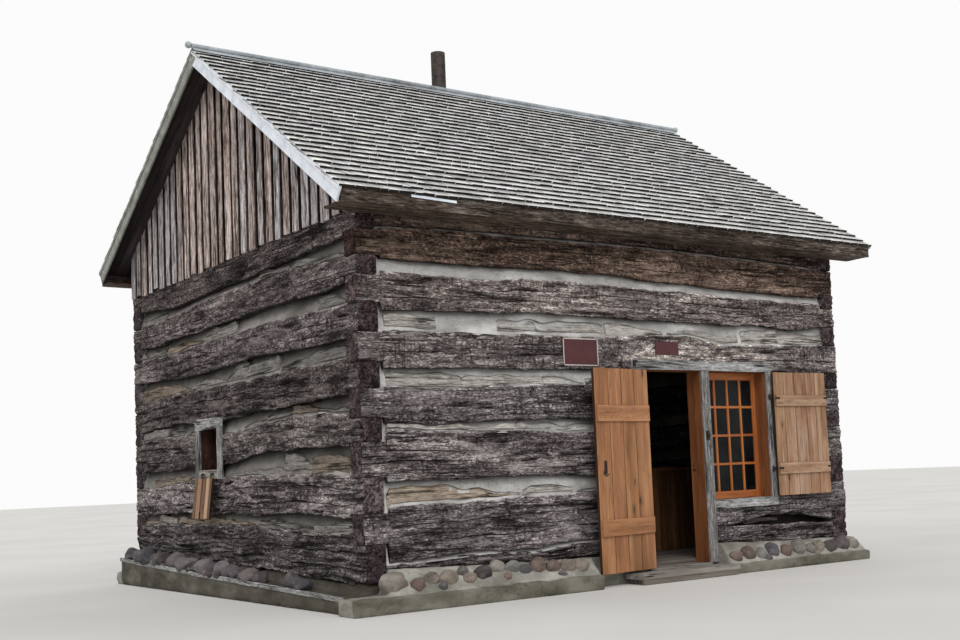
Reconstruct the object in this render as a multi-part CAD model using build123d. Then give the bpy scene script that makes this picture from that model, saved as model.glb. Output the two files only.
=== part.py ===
from build123d import *
import math
import os

# A log cabin of hewn logs with square-notched corners, in millimetres.
# X runs along the front wall, Y from the front wall to the back, Z up from the ground.
# While it is built, the near left corner of the log walls is at X 0, Y 0.

# Log walls
wall_length = 5891
wall_depth = 5374
log_thickness = 190
shoulder = 230
mortar_recess = 28
cut_overshoot = 1

# Heights at which the logs change over, up each corner, from the sill to the top log.
# Gable logs and front logs lie on each other in turn.
left_corner_levels = (233, 537, 786, 1076, 1368, 1563, 1806, 2023, 2272, 2520, 2745, 2906, 3127, 3307)
right_corner_levels = (240, 510, 830, 1100, 1415, 1590, 1830, 2000, 2295, 2500, 2700, 2850, 3120, 3307)

# Front logs from the ground up: heights of the lower and of the upper hewn edge,
# at even steps from one shoulder to the other.
front_courses = (
    ((385, 398, 418, 385, 445, 440, 455, 470, 468, 530, 517, 430),
     (828, 838, 836, 860, 863, 845, 850, 850, 850, 850, 850, 850)),
    ((1034, 1040, 1042, 1034, 1025, 1020, 1030, 1040, 1050, 1060, 1070, 1080),
     (1468, 1453, 1437, 1440, 1413, 1410, 1415, 1425, 1430, 1440, 1440, 1440)),
    ((1520, 1511, 1518, 1540, 1540, 1530, 1535, 1540, 1545, 1550, 1560, 1570),
     (1820, 1806, 1828, 1845, 1838, 1835, 1840, 1845, 1850, 1850, 1850, 1850)),
    ((1966, 1974, 1985, 1987, 1989, 2000, 2000, 2000, 2000, 2000, 2002, 1998),
     (2293, 2290, 2291, 2289, 2296, 2304, 2324, 2350, 2266, 2280, 2283, 2298)),
    ((2450, 2465, 2470, 2489, 2498, 2485, 2470, 2478, 2466, 2487, 2448, 2495),
     (2785, 2772, 2764, 2797, 2804, 2795, 2776, 2780, 2760, 2755, 2750, 2748)),
    ((2885, 2886, 2880, 2888, 2899, 2896, 2860, 2862, 2835, 2826, 2817, 2822),
     (3140, 3165, 3175, 3172, 3172, 3180, 3180, 3175, 3165, 3155, 3140, 3130)),
)

# Gable logs from the ground up, in the same way, from the front shoulder to the back one.
gable_courses = (
    ((215, 230, 255, 275, 285, 290, 295, 300, 305, 310, 315),
     (640, 615, 625, 664, 677, 684, 682, 665, 662, 675, 652)),
    ((766, 772, 791, 782, 780, 797, 797, 795, 785, 782, 775),
     (1105, 1135, 1132, 1140, 1148, 1151, 1145, 1130, 1100, 1062, 1046)),
    ((1345, 1356, 1358, 1364, 1345, 1281, 1270, 1265, 1257, 1258, 1250),
     (1605, 1650, 1655, 1635, 1585, 1570, 1580, 1596, 1602, 1608, 1600)),
    ((1770, 1760, 1752, 1748, 1740, 1715, 1712, 1722, 1748, 1735, 1705),
     (2075, 2072, 2075, 2062, 2052, 2063, 2062, 2060, 2070, 2070, 2030)),
    ((2240, 2230, 2244, 2258, 2267, 2250, 2228, 2225, 2235, 2262, 2268),
     (2522, 2530, 2549, 2556, 2558, 2540, 2530, 2525, 2497, 2510, 2525)),
    ((2700, 2667, 2688, 2698, 2683, 2680, 2682, 2671, 2665, 2645, 2665),
     (2913, 2935, 2975, 2995, 2985, 2972, 2958, 2955, 2924, 2920, 2915)),
    ((3095, 3075, 3068, 3060, 3046, 3043, 3040, 3020, 3000, 3055, 3080),
     (3307, 3307, 3307, 3307, 3307, 3307, 3307, 3307, 3307, 3307, 3307)),
)

# Thin sill log of the front and back walls, between the gable sills
sill_lower = (335, 310, 295, 285, 275, 272, 285, 300, 285, 262, 250, 240)
sill_upper = (368, 380, 400, 368, 425, 420, 435, 450, 450, 430, 420, 400)
sill_setback = 15

# Plate logs that carry the roof, above the top course of the front and back walls
plate_gap = 18
back_plate_split = 3430

# Doorway and window of the front wall
lining = 25
casing_thickness = 22
casing_width = 98
door_left = 3050
door_width = 765
door_foot = 116
head_height = 1997
post_width = 110
window_width = 817
window_foot = 716
right_casing_width = 88
head_board_height = 99
head_board_overhang = 50
sill_board_height = 86
window_board = 26

# Window sash
sash_setback = 140
sash_thickness = 36
sash_foot = 722
sash_head_drop = 37
sash_stile = 56
sash_bottom_rail = 70
sash_top_rail = 40
sash_bar = 27
sash_columns = 4
sash_rows = 4
glass_thickness = 4

# Door leaf, hung on the left casing and standing open
leaf_gap = 6
leaf_proud = 5
door_thickness = 32
door_open = 172
batten_thickness = 20
door_batten_height = 150
door_batten_feet = (334, 1378)
batten_inset = 14

# Window shutter, hung on the right casing and lying open against the wall
shutter_thickness = 26
shutter_open = 180
shutter_batten_height = 112
shutter_batten_feet = (218, 918)
shutter_axis_inset = 23

# Iron of the door and the shutter
hinge_stand_off = 13
pin_radius = 5
eye_radius = 10
pin_clearance = 1
eye_height = 36
pin_overshoot = 12
strap_thickness = 6
strap_width = 34
door_strap_length = 460
door_strap_heights = (420, 1560)
shutter_strap_length = 240
shutter_strap_heights = (260, 1000)
shank_height = 12
shank_width = 8
latch_width = 30
latch_height = 120
latch_thickness = 8
latch_inset = 90
latch_foot = 900

# Small window in the left gable wall and its hanging flap
gable_window_near = 2930
gable_window_width = 460
gable_window_foot = 1230
gable_window_height = 415
gable_lining = 20
gable_casing_thickness = 25
gable_casing_width = 105
gable_head_board = 100
gable_foot_board = 95
flap_gap = 6
flap_thickness = 24
flap_drop = 47
flap_tilt = 6.5
flap_notch_place = 243
flap_notch_width = 36
flap_notch_height = 70
flap_axis_height = 1190
flap_hook_places = (110, 350)
flap_eye_length = 26
flap_pin_overshoot = 6
flap_strap_length = 140

# Roof
ridge_place = 2651
ridge_height = 5403
front_eave_overhang = 340
front_eave_height = 3385
back_eave_overhang = 283
back_eave_height = 3620
gable_overhang = 278
shingle_thickness = 25
deck_thickness = 35
fascia_thickness = 22
fascia_setback = 28
front_fascia_drop = 135
back_fascia_drop = 169
soffit_thickness = 18
barge_thickness = 22
barge_width = 155
ridge_wing = 90
ridge_metal = 4
ridge_roll_radius = 22
ridge_ball_radius = 34
ridge_ball_stand_off = 36
gable_board_thickness = 30
gable_board_foot = 3289

# Stovepipe behind the ridge
pipe_along = 2725
pipe_behind_ridge = 199
pipe_radius = 82
pipe_wall = 4
pipe_top = 5918
pipe_foot = 4900
flashing_reach = 150
flashing_thickness = 3
pipe_clearance = 6

# Footings, floor and doorstep
footing_inset = 20
floor_top = 150
floor_thickness = 30
floor_ledge = 60
bank_end = 2275
bank_start = 110
bank_rise_start = 190
bank_foot = 200
bank_lip = 20
curb_front = 250
left_curb_height = 133
right_curb_height = 95
curb_end_left = 250
curb_end_right = 60
bank_top_front = 335
ledge_width = 200
left_ledge_heights = (135, 205, 290)
plain_ledge_height = 135
threshold_thickness = 40
step_depth = 300
step_reach = 370
step_top = 100
step_setback = 24

# Board barrier inside the doorway
barrier_place = 1400
barrier_length = 1321
barrier_thickness = 26
barrier_height = 910
barrier_post = 60
barrier_rail = 40

# Two bare plates on the front wall: place along it, rise above the head of the doorway, width and height
plate_thickness = 5
large_plate = (2105, 25, 415, 258)
small_plate = (3240, 150, 305, 129)

os.makedirs("parts", exist_ok=True)

# Places that follow from the sizes above
door_right = door_left + door_width
window_left = door_right + post_width
window_right = window_left + window_width
inner_length = wall_length - log_thickness
inner_depth = wall_depth - log_thickness
front_fascia_foot = front_eave_height - front_fascia_drop
back_fascia_foot = back_eave_height - back_fascia_drop
pipe_across = ridge_place + pipe_behind_ridge
reveal_depth = log_thickness
opening_left = door_left - lining
opening_right = window_right + lining
stud_left = door_right + lining
stud_right = window_left - lining
head_underside = head_height + lining
sash_head = head_height - sash_head_drop
front_slope = (ridge_height - front_eave_height) / (ridge_place + front_eave_overhang)
back_tip = wall_depth + back_eave_overhang
back_slope = (ridge_height - back_eave_height) / (back_tip - ridge_place)
front_pitch = math.atan(front_slope)
back_pitch = math.atan(back_slope)
roof_start = -gable_overhang
roof_end = wall_length + gable_overhang
origin_place = (back_tip - front_eave_overhang) / 2
step_start = door_left - step_reach
barrier_start = inner_length - barrier_length
centring = Location((-wall_length / 2, -origin_place, 0))


def prism(points, direction):
    """Solid with a flat outline, pushed along a direction."""
    return Solid.extrude(Face(Wire.make_polygon(points, close=True)), Vector(*direction))


def front_prism(outline, start, end):
    """Outline in X and Z, from Y start to Y end."""
    return prism([(x, start, z) for x, z in outline], (0, end - start, 0))


def side_prism(outline, start, end):
    """Outline in Y and Z, from X start to X end."""
    return prism([(start, y, z) for y, z in outline], (end - start, 0, 0))


def block(x0, x1, y0, y1, z0, z1):
    return front_prism([(x0, z0), (x1, z0), (x1, z1), (x0, z1)], y0, y1)


def upright_cylinder(x, y, z0, z1, radius):
    return Solid.make_cylinder(radius, z1 - z0, Plane(origin=(x, y, z0), z_dir=(0, 0, 1)))


def save(name, solids):
    """Write one node, moved so that the origin is under the middle of the roof, on the ground."""
    solids = solids if isinstance(solids, list) else [solids]
    moved = [solid.moved(centring) for solid in solids]
    export_step(moved[0] if len(moved) == 1 else Compound(children=moved), f"parts/{name}.step")


def spread(heights, length):
    """Heights at even steps between the two shoulders of a wall."""
    step = (length - 2 * shoulder) / (len(heights) - 1)
    return [(shoulder + step * i, height) for i, height in enumerate(heights)]


def log_edges(course, length, start_levels, end_levels):
    """Lower and upper edge of a log, with its narrower notched ends."""
    edges = []
    for heights, pick, level in zip(course, (min, max), (0, 1)):
        points = spread(heights, length)
        points[0] = (points[0][0], pick(points[0][1], start_levels[level]))
        points[-1] = (points[-1][0], pick(points[-1][1], end_levels[level]))
        near = [(0, start_levels[level]), (shoulder, start_levels[level])]
        far = [(length - shoulder, end_levels[level]), (length, end_levels[level])]
        edges.append(distinct(near + points + far))
    return edges


def distinct(points):
    """The same outline without points that repeat."""
    nearest = 0.01
    kept = [points[0]]
    for point in points[1:]:
        if math.dist(point, kept[-1]) > nearest:
            kept.append(point)
    return kept


def height_at(points, place):
    for (x0, z0), (x1, z1) in zip(points, points[1:]):
        if x0 < x1 and x0 <= place <= x1:
            return z0 + (z1 - z0) * (place - x0) / (x1 - x0)
    raise ValueError("place beyond the outline")


def cut_out(points, start, end):
    """The stretch of an edge between two places along the wall."""
    inside = [point for point in points if start < point[0] < end]
    return distinct([(start, height_at(points, start))] + inside + [(end, height_at(points, end))])


def strip(lower, upper, start, end):
    """Closed outline between two edges, from start to end."""
    return cut_out(lower, start, end) + cut_out(upper, start, end)[::-1]


def courses(table, length, first_level, start_corner, end_corner):
    """Edges of every log of a wall, from the ground up."""
    found = []
    for number, course in enumerate(table):
        index = first_level + 2 * number
        found.append(log_edges(course, length, start_corner[index:index + 2], end_corner[index:index + 2]))
    return found


front_edges = courses(front_courses, wall_length, 1, left_corner_levels, right_corner_levels)
back_edges = front_edges
left_edges = courses(gable_courses, wall_depth, 0, left_corner_levels, left_corner_levels)
right_edges = courses(gable_courses, wall_depth, 0, right_corner_levels, right_corner_levels)


def held(heights, length):
    """Edge of a sill or plate log that runs between the gable logs."""
    points = spread(heights, length)
    return [(log_thickness, heights[0])] + points + [(length - log_thickness, heights[-1])]


sill_edges = [held(sill_lower, wall_length), held(sill_upper, wall_length)]


def roof_top(y):
    """Height of the top of the roof over a place across the cabin."""
    if y <= ridge_place:
        return ridge_height - front_slope * (ridge_place - y)
    return ridge_height - back_slope * (y - ridge_place)


def roof_level(y, depth):
    """Height at a depth below the roof's top, measured square to the slope."""
    pitch = front_pitch if y <= ridge_place else back_pitch
    return roof_top(y) - depth / math.cos(pitch)


roof_depth = shingle_thickness + deck_thickness


def plate_edge(edges):
    """Lower edge of a plate log, a mortar joint above the top course."""
    top = edges[-1][1]
    corner = left_corner_levels[-2]
    inside = [(x, z + plate_gap) for x, z in top if shoulder <= x <= wall_length - shoulder and z > corner]
    return [(log_thickness, inside[0][1])] + inside + [(inner_length, inside[-1][1])]


def make_front_logs():
    """Courses of the front wall: the lower three are cut by the doorway, the lowest also by the window."""
    cut_courses = 3
    sill_left = front_prism(strip(*sill_edges, log_thickness, opening_left), sill_setback, log_thickness)
    sill_right = front_prism(strip(*sill_edges, stud_right, inner_length), sill_setback, log_thickness)
    upper = [front_prism(strip(*edges, 0, wall_length), 0, log_thickness)
             for edges in front_edges[cut_courses:]]
    inner_cut = log_thickness + cut_overshoot
    doorway = block(opening_left, opening_right, -cut_overshoot, inner_cut, 0, head_underside)
    upper[0] = upper[0] - doorway
    plate_low = plate_edge(front_edges)
    plate = front_prism(plate_low + [(inner_length, roof_level(0, roof_depth)),
                                     (log_thickness, roof_level(0, roof_depth))], 0, log_thickness)
    slope_cut = side_prism([(-cut_overshoot, roof_level(-cut_overshoot, roof_depth)),
                            (inner_cut, roof_level(inner_cut, roof_depth)),
                            (inner_cut, ridge_height), (-cut_overshoot, ridge_height)], 0, wall_length)
    plate = plate - slope_cut
    left = [front_prism(strip(*edges, 0, opening_left), 0, log_thickness)
            for edges in front_edges[:cut_courses]]
    right = [front_prism(strip(*edges, opening_right, wall_length), 0, log_thickness)
             for edges in front_edges[1:cut_courses]]
    low = front_prism(strip(*front_edges[0], stud_right, wall_length), 0, log_thickness)
    low = low - block(stud_right - cut_overshoot, opening_right, -cut_overshoot, inner_cut,
                      window_foot - window_board, head_height)
    save("front_logs_upper", upper + [plate])
    save("front_logs_left", left + [sill_left])
    save("front_logs_right", right)
    save("front_logs_low_right", [low, sill_right])
    return plate_low


def make_back_logs():
    y0 = inner_depth
    logs = [front_prism(strip(*edges, 0, wall_length), y0, wall_depth) for edges in back_edges]
    logs.append(front_prism(strip(*sill_edges, log_thickness, inner_length), y0, wall_depth))
    plate_low = plate_edge(back_edges)
    logs.append(front_prism(plate_low + [(inner_length, back_plate_split), (log_thickness, back_plate_split)],
                            y0, wall_depth))
    foot = back_plate_split + plate_gap
    outline = [(y0, foot), (wall_depth, foot), (wall_depth, roof_level(wall_depth, roof_depth)),
               (y0, roof_level(y0, roof_depth))]
    logs.append(side_prism(outline, log_thickness, inner_length))
    save("back_logs", logs)
    return plate_low


gable_window_far = gable_window_near + gable_window_width
gable_window_head = gable_window_foot + gable_window_height
gable_cut_near = gable_window_near - gable_lining
gable_cut_far = gable_window_far + gable_lining
gable_cut_foot = gable_window_foot - gable_lining
gable_cut_head = gable_window_head + gable_lining


def make_left_logs():
    """Courses of the left gable wall, one of them cut by the small window."""
    logs = [side_prism(strip(*edges, 0, wall_depth), 0, log_thickness) for edges in left_edges]
    cut = 2
    near = side_prism(strip(*left_edges[cut], 0, gable_cut_near), 0, log_thickness)
    far = side_prism(strip(*left_edges[cut], gable_cut_far, wall_depth), 0, log_thickness)
    save("left_logs_lower", logs[:cut])
    save("left_logs_middle", [near, far])
    save("left_logs_upper", logs[cut + 1:])


def make_right_logs():
    save("right_logs", [side_prism(strip(*edges, 0, wall_depth), inner_length, wall_length)
                        for edges in right_edges])


def make_chinking(front_plate, back_plate):
    """Mortar between the logs, set back from both faces of the wall."""
    near_face = mortar_recess
    far_face = log_thickness - mortar_recess
    filling = []

    def front_joint(lower, upper, start, end):
        filling.append(front_prism(strip(lower, upper, start, end), near_face, far_face))

    first, second, third, fourth = front_edges[:4]
    front_joint(first[1], second[0], log_thickness, opening_left)
    front_joint(second[1], third[0], log_thickness, opening_left)
    front_joint(second[1], third[0], opening_right, inner_length)
    front_joint(first[1], second[0], opening_right, inner_length)
    front_joint(third[1], fourth[0], log_thickness, opening_left)
    front_joint(third[1], fourth[0], opening_right, inner_length)
    for low, high in zip(front_edges[3:], front_edges[4:]):
        front_joint(low[1], high[0], log_thickness, inner_length)
    front_joint(sill_edges[1], first[0], log_thickness, opening_left)
    filling.append(front_prism(strip(sill_edges[1], first[0], stud_right, inner_length),
                               far_face - mortar_recess, far_face))
    front_joint(front_edges[-1][1], front_plate, log_thickness, inner_length)
    back_near = inner_depth + mortar_recess
    back_far = wall_depth - mortar_recess
    stack = [sill_edges] + back_edges
    for low, high in zip(stack, stack[1:]):
        filling.append(front_prism(strip(low[1], high[0], log_thickness, inner_length), back_near, back_far))
    filling.append(front_prism(strip(back_edges[-1][1], back_plate, log_thickness, inner_length),
                               back_near, back_far))
    filling.append(block(log_thickness, inner_length, back_near, back_far,
                         back_plate_split, back_plate_split + plate_gap))
    below, cut, above = left_edges[1:4]
    for low, high in zip(left_edges, left_edges[1:]):
        if low is not below and low is not cut:
            joint = strip(low[1], high[0], log_thickness, inner_depth)
            filling.append(side_prism(joint, near_face, far_face))
    for low, high in ((below, cut), (cut, above)):
        for start, end in ((log_thickness, gable_cut_near), (gable_cut_far, inner_depth)):
            filling.append(side_prism(strip(low[1], high[0], start, end), near_face, far_face))
    under = cut_out(below[1], gable_cut_near, gable_cut_far)
    filling.append(side_prism(under + [(gable_cut_far, gable_cut_foot), (gable_cut_near, gable_cut_foot)],
                              near_face, far_face))
    over = cut_out(above[0], gable_cut_near, gable_cut_far)
    filling.append(side_prism(over + [(gable_cut_far, gable_cut_head), (gable_cut_near, gable_cut_head)],
                              near_face, far_face))
    for low, high in zip(right_edges, right_edges[1:]):
        filling.append(side_prism(strip(low[1], high[0], log_thickness, inner_depth),
                                  inner_length + mortar_recess, wall_length - mortar_recess))
    save("chinking", filling)


def make_footings():
    """Masonry under the walls, with a mortar bank and a curb along the front."""
    wall_near = footing_inset
    wall_far = log_thickness
    ledge_far = log_thickness + floor_ledge
    ledge_top = floor_top - floor_thickness
    tops = sill_edges[0]

    def front_wall_part(start, end):
        return front_prism(cut_out(tops, start, end) + [(end, 0), (start, 0)], wall_near, wall_far)

    def batter(curb_height, start, end):
        """Sloping face of the bank, down to its curb."""
        return side_prism([(wall_near, bank_top_front + bank_lip), (-bank_lip, bank_top_front),
                           (-bank_foot, curb_height), (-curb_front, curb_height), (-curb_front, 0),
                           (wall_near, 0)], start, end)

    end_place = wall_length + curb_end_right
    left_top = cut_out(tops, bank_rise_start, bank_end)
    left_outline = [(bank_end, 0), (-curb_end_left, 0), (-curb_end_left, left_curb_height),
                    (bank_start, left_curb_height)] + left_top
    left_bank = front_prism(left_outline, -curb_front, wall_near)
    left_bank = left_bank & batter(left_curb_height, -curb_end_left, end_place)
    left_bank = left_bank - block(0, log_thickness, 0, wall_near,
                                  left_corner_levels[0], left_corner_levels[1])
    left_wall = front_wall_part(log_thickness, opening_left)
    left_ledge = block(log_thickness, opening_left, wall_far, ledge_far, 0, ledge_top)
    save("front_foundation_left", left_bank + left_wall + left_ledge)

    right_top = cut_out(tops, window_left, inner_length)
    right_outline = [(end_place, 0), (window_left, 0)] + right_top + [(wall_length, tops[-1][1]),
                                                                      (end_place, right_curb_height)]
    right_bank = front_prism(right_outline, -curb_front, wall_near) & batter(right_curb_height, 0, end_place)
    right_wall = front_wall_part(stud_right, inner_length)
    right_ledge = block(stud_right, inner_length, wall_far, ledge_far, 0, ledge_top)
    save("front_foundation_right", right_bank + right_wall + right_ledge)

    sill_foot = door_foot - threshold_thickness
    doorway_base = block(opening_left, stud_right, wall_near, wall_far, 0, sill_foot)
    doorway_ledge = block(opening_left, stud_right, wall_far, ledge_far, 0, ledge_top)
    save("doorway_foundation", doorway_base + doorway_ledge)

    def gable_wall(edges, outer, inner, ledge):
        low = [point for point in edges[0][0] if shoulder <= point[0] <= wall_depth - shoulder]
        corner = edges[0][0][0][1]
        far_corner = edges[0][0][-1][1]
        line = distinct([(wall_near, corner), (shoulder, corner)] + low
                        + [(wall_depth - shoulder, far_corner), (wall_depth, far_corner)])
        wall = side_prism(line + [(wall_depth, 0), (wall_near, 0)], outer, inner)
        return wall + block(min(inner, ledge), max(inner, ledge),
                            ledge_far, wall_depth - ledge_far, 0, ledge_top)

    left_wall = gable_wall(left_edges, wall_near, wall_far, ledge_far)
    near, middle, far = left_ledge_heights
    left_ledge = side_prism([(wall_near, 0), (wall_depth, 0), (wall_depth, far), (wall_depth / 2, middle),
                             (wall_near, near)], -ledge_width, wall_near)
    sill_log = side_prism(strip(*left_edges[0], 0, wall_depth), 0, log_thickness)
    save("left_foundation", left_wall + (left_ledge - sill_log))

    right_wall = gable_wall(right_edges, wall_length - wall_near, inner_length, inner_length - floor_ledge)
    right_ledge = block(wall_length - wall_near, wall_length + curb_end_right, wall_near, wall_depth, 0,
                        plain_ledge_height)
    save("right_foundation", right_wall + right_ledge)

    back_low = cut_out(tops, log_thickness, inner_length)
    back_wall = front_prism(back_low + [(inner_length, 0), (log_thickness, 0)],
                            inner_depth, wall_depth - wall_near)
    back_shelf = block(log_thickness, inner_length, inner_depth - floor_ledge, inner_depth, 0, ledge_top)
    back_ledge = block(-ledge_width, wall_length + curb_end_right, wall_depth, wall_depth + ledge_width, 0,
                       plain_ledge_height)
    back_joint = block(log_thickness, inner_length, wall_depth - wall_near, wall_depth, 0, plain_ledge_height)
    save("back_foundation", back_wall + back_shelf + back_ledge + back_joint)


def make_floor():
    save("floor_boards", block(log_thickness, inner_length, log_thickness, inner_depth,
                               floor_top - floor_thickness, floor_top))
    save("door_threshold", block(opening_left, stud_right, -casing_thickness, log_thickness,
                                 door_foot - threshold_thickness, door_foot))
    save("door_step", block(step_start, window_left, -step_depth, -step_setback, 0, step_top))


def make_door_frame():
    face = -casing_thickness
    board_foot = door_foot
    save("left_casing", block(door_left - casing_width, door_left, face, 0, board_foot, head_height))
    stud = block(stud_left, stud_right, 0, log_thickness, door_foot, head_underside)
    front_board = block(door_right, window_left, face, 0, door_foot, head_height)
    save("middle_post", stud + front_board)
    save("right_casing", block(window_right, window_right + right_casing_width, face, 0,
                               window_foot, head_height))
    save("lintel_board", block(door_left - casing_width - head_board_overhang,
                               window_right + right_casing_width, face, 0, head_height,
                               head_height + head_board_height))
    board_top = window_foot
    front = block(window_left, window_right + right_casing_width, face, 0,
                  window_foot - sill_board_height, board_top)
    shelf = block(window_left, window_right, 0, reveal_depth, window_foot - window_board, board_top)
    wide = block(stud_right, window_left, 0, log_thickness, window_foot - window_board, board_top)
    wide_right = block(window_right, opening_right, 0, log_thickness, window_foot - window_board, board_top)
    save("window_sill", front + shelf + wide + wide_right)
    door_left_board = block(opening_left, door_left, 0, reveal_depth, door_foot, head_height)
    door_right_board = block(door_right, stud_left, 0, reveal_depth, door_foot, head_height)
    door_head = block(opening_left, stud_left, 0, reveal_depth, head_height, head_underside)
    window_left_board = block(stud_right, window_left, 0, reveal_depth, window_foot, head_height)
    window_right_board = block(window_right, opening_right, 0, reveal_depth, window_foot, head_height)
    window_head = block(stud_right, opening_right, 0, reveal_depth, head_height, head_underside)
    save("reveal_linings", [door_left_board + door_head + door_right_board,
                            window_left_board + window_head + window_right_board])


def make_sash():
    y0 = sash_setback
    y1 = sash_setback + sash_thickness
    frame = block(window_left, window_right, y0, y1, window_foot, head_height)
    pane_width = (window_width - 2 * sash_stile - (sash_columns - 1) * sash_bar) / sash_columns
    pane_floor = sash_foot + sash_bottom_rail
    pane_height = (sash_head - sash_top_rail - pane_floor - (sash_rows - 1) * sash_bar) / sash_rows
    glass_near = y0 + (sash_thickness - glass_thickness) / 2
    panes = []
    for column in range(sash_columns):
        x = window_left + sash_stile + column * (pane_width + sash_bar)
        for row in range(sash_rows):
            z = pane_floor + row * (pane_height + sash_bar)
            frame = frame - block(x, x + pane_width, y0 - cut_overshoot, y1 + cut_overshoot,
                                  z, z + pane_height)
            panes.append(block(x, x + pane_width, glass_near, glass_near + glass_thickness,
                               z, z + pane_height))
    save("window_sash", frame)
    save("window_glass", panes)


# Hinge lines: they stand a little in front of the casings
door_axis = (door_left, -casing_thickness - hinge_stand_off)
shutter_axis = (window_right + shutter_axis_inset, -casing_thickness - hinge_stand_off)


def eye_and_strap(axis, side, leaf_edge, leaf_face, foot, length):
    """Hinge strap on the outer face of a closed leaf, with an eye round the pin."""
    x, y = axis
    top = foot + eye_height
    strap_foot = foot + (eye_height - strap_width) / 2
    end = leaf_edge + side * length
    back = leaf_face
    front = leaf_face - strap_thickness
    strap = block(min(x, end), max(x, end), front, back, strap_foot, strap_foot + strap_width)
    eye = upright_cylinder(x, y, foot, top, eye_radius)
    hole = upright_cylinder(x, y, foot - cut_overshoot, top + cut_overshoot, pin_radius + pin_clearance)
    return strap + eye - hole


def pin_and_shank(axis, foot):
    """Pin fixed to a casing by a shank under the eye."""
    x, y = axis
    shank_top = foot - pin_clearance
    pin = upright_cylinder(x, y, shank_top - shank_height, foot + eye_height + pin_overshoot, pin_radius)
    shank = block(x - shank_width / 2, x + shank_width / 2, y, -casing_thickness,
                  shank_top - shank_height, shank_top)
    return pin + shank


def make_door():
    x0 = door_left + leaf_gap
    x1 = door_right - leaf_gap
    outer = -casing_thickness - leaf_proud
    inner = outer + door_thickness
    foot = door_foot + leaf_gap
    top = head_height - leaf_gap
    leaf = block(x0, x1, outer, inner, foot, top)
    for batten_foot in door_batten_feet:
        leaf = leaf + block(x0 + batten_inset, x1 - batten_inset, inner, inner + batten_thickness,
                            foot + batten_foot, foot + batten_foot + door_batten_height)
    irons = [eye_and_strap(door_axis, 1, x0, outer, foot + height, door_strap_length)
             for height in door_strap_heights]
    latch_start = x1 - latch_inset - latch_width
    irons.append(block(latch_start, latch_start + latch_width, inner, inner + latch_thickness,
                       latch_foot + foot, latch_foot + foot + latch_height))
    turn = Axis((door_axis[0], door_axis[1], 0), (0, 0, 1))
    save("door_leaf", leaf.rotate(turn, -door_open))
    save("door_irons", [iron.rotate(turn, -door_open) for iron in irons])
    return [pin_and_shank(door_axis, foot + height) for height in door_strap_heights]


def make_shutter():
    x0 = window_left + leaf_gap
    x1 = window_right - leaf_gap
    outer = -casing_thickness - leaf_proud
    inner = outer + shutter_thickness
    foot = window_foot + leaf_gap
    top = head_height - leaf_gap
    leaf = block(x0, x1, outer, inner, foot, top)
    for batten_foot in shutter_batten_feet:
        leaf = leaf + block(x0 + batten_inset, x1 - batten_inset, inner, inner + batten_thickness,
                            foot + batten_foot, foot + batten_foot + shutter_batten_height)
    irons = [eye_and_strap(shutter_axis, -1, x1, outer, foot + height, shutter_strap_length)
             for height in shutter_strap_heights]
    turn = Axis((shutter_axis[0], shutter_axis[1], 0), (0, 0, 1))
    save("shutter_leaf", leaf.rotate(turn, shutter_open))
    save("shutter_irons", [iron.rotate(turn, shutter_open) for iron in irons])
    return [pin_and_shank(shutter_axis, foot + height) for height in shutter_strap_heights]


flap_axis = (-gable_casing_thickness - hinge_stand_off, flap_axis_height)


def make_gable_window():
    face = -gable_casing_thickness
    near = gable_window_near
    far = gable_window_far
    foot = gable_window_foot
    head = gable_window_head
    casing = block(face, 0, near - gable_casing_width, far + gable_casing_width, foot - gable_foot_board,
                   head + gable_head_board)
    box = block(0, reveal_depth, near - gable_lining, far + gable_lining,
                foot - gable_lining, head + gable_lining)
    hole = block(face - cut_overshoot, reveal_depth + cut_overshoot, near, far, foot, head)
    save("gable_window_frame", casing + box - hole)
    outer = face - leaf_proud
    inner = outer + flap_thickness
    x, z = flap_axis
    leaf_head = head - flap_gap
    leaf = block(outer, inner, near + flap_gap, far - flap_gap, z + flap_drop, leaf_head)
    notch_start = near + flap_notch_place
    leaf = leaf - block(outer - cut_overshoot, inner + cut_overshoot,
                        notch_start, notch_start + flap_notch_width,
                        leaf_head - flap_notch_height, leaf_head + cut_overshoot)
    hooks = []
    for place in flap_hook_places:
        y = near + place
        start = y - flap_eye_length / 2
        end = y + flap_eye_length / 2
        plane = Plane(origin=(x, start, z), z_dir=(0, 1, 0))
        eye = Solid.make_cylinder(eye_radius, flap_eye_length, plane)
        strap = block(outer - strap_thickness, outer, start, end, z, z + flap_strap_length)
        hole = Solid.make_cylinder(pin_radius + pin_clearance, flap_eye_length + 2 * cut_overshoot,
                                   Plane(origin=(x, start - cut_overshoot, z), z_dir=(0, 1, 0)))
        leaf = leaf + (eye + strap - hole)
        pin_start = start - flap_pin_overshoot - shank_height
        pin = Solid.make_cylinder(pin_radius, flap_eye_length + 2 * flap_pin_overshoot + shank_height,
                                  Plane(origin=(x, pin_start, z), z_dir=(0, 1, 0)))
        hooks.append(pin + block(x, face, pin_start, pin_start + shank_height,
                                 z - pin_radius, z + pin_radius))
    turn = Axis((x, 0, z), (0, 1, 0))
    save("gable_flap", leaf.rotate(turn, -(180 - flap_tilt)))
    return hooks


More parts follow.
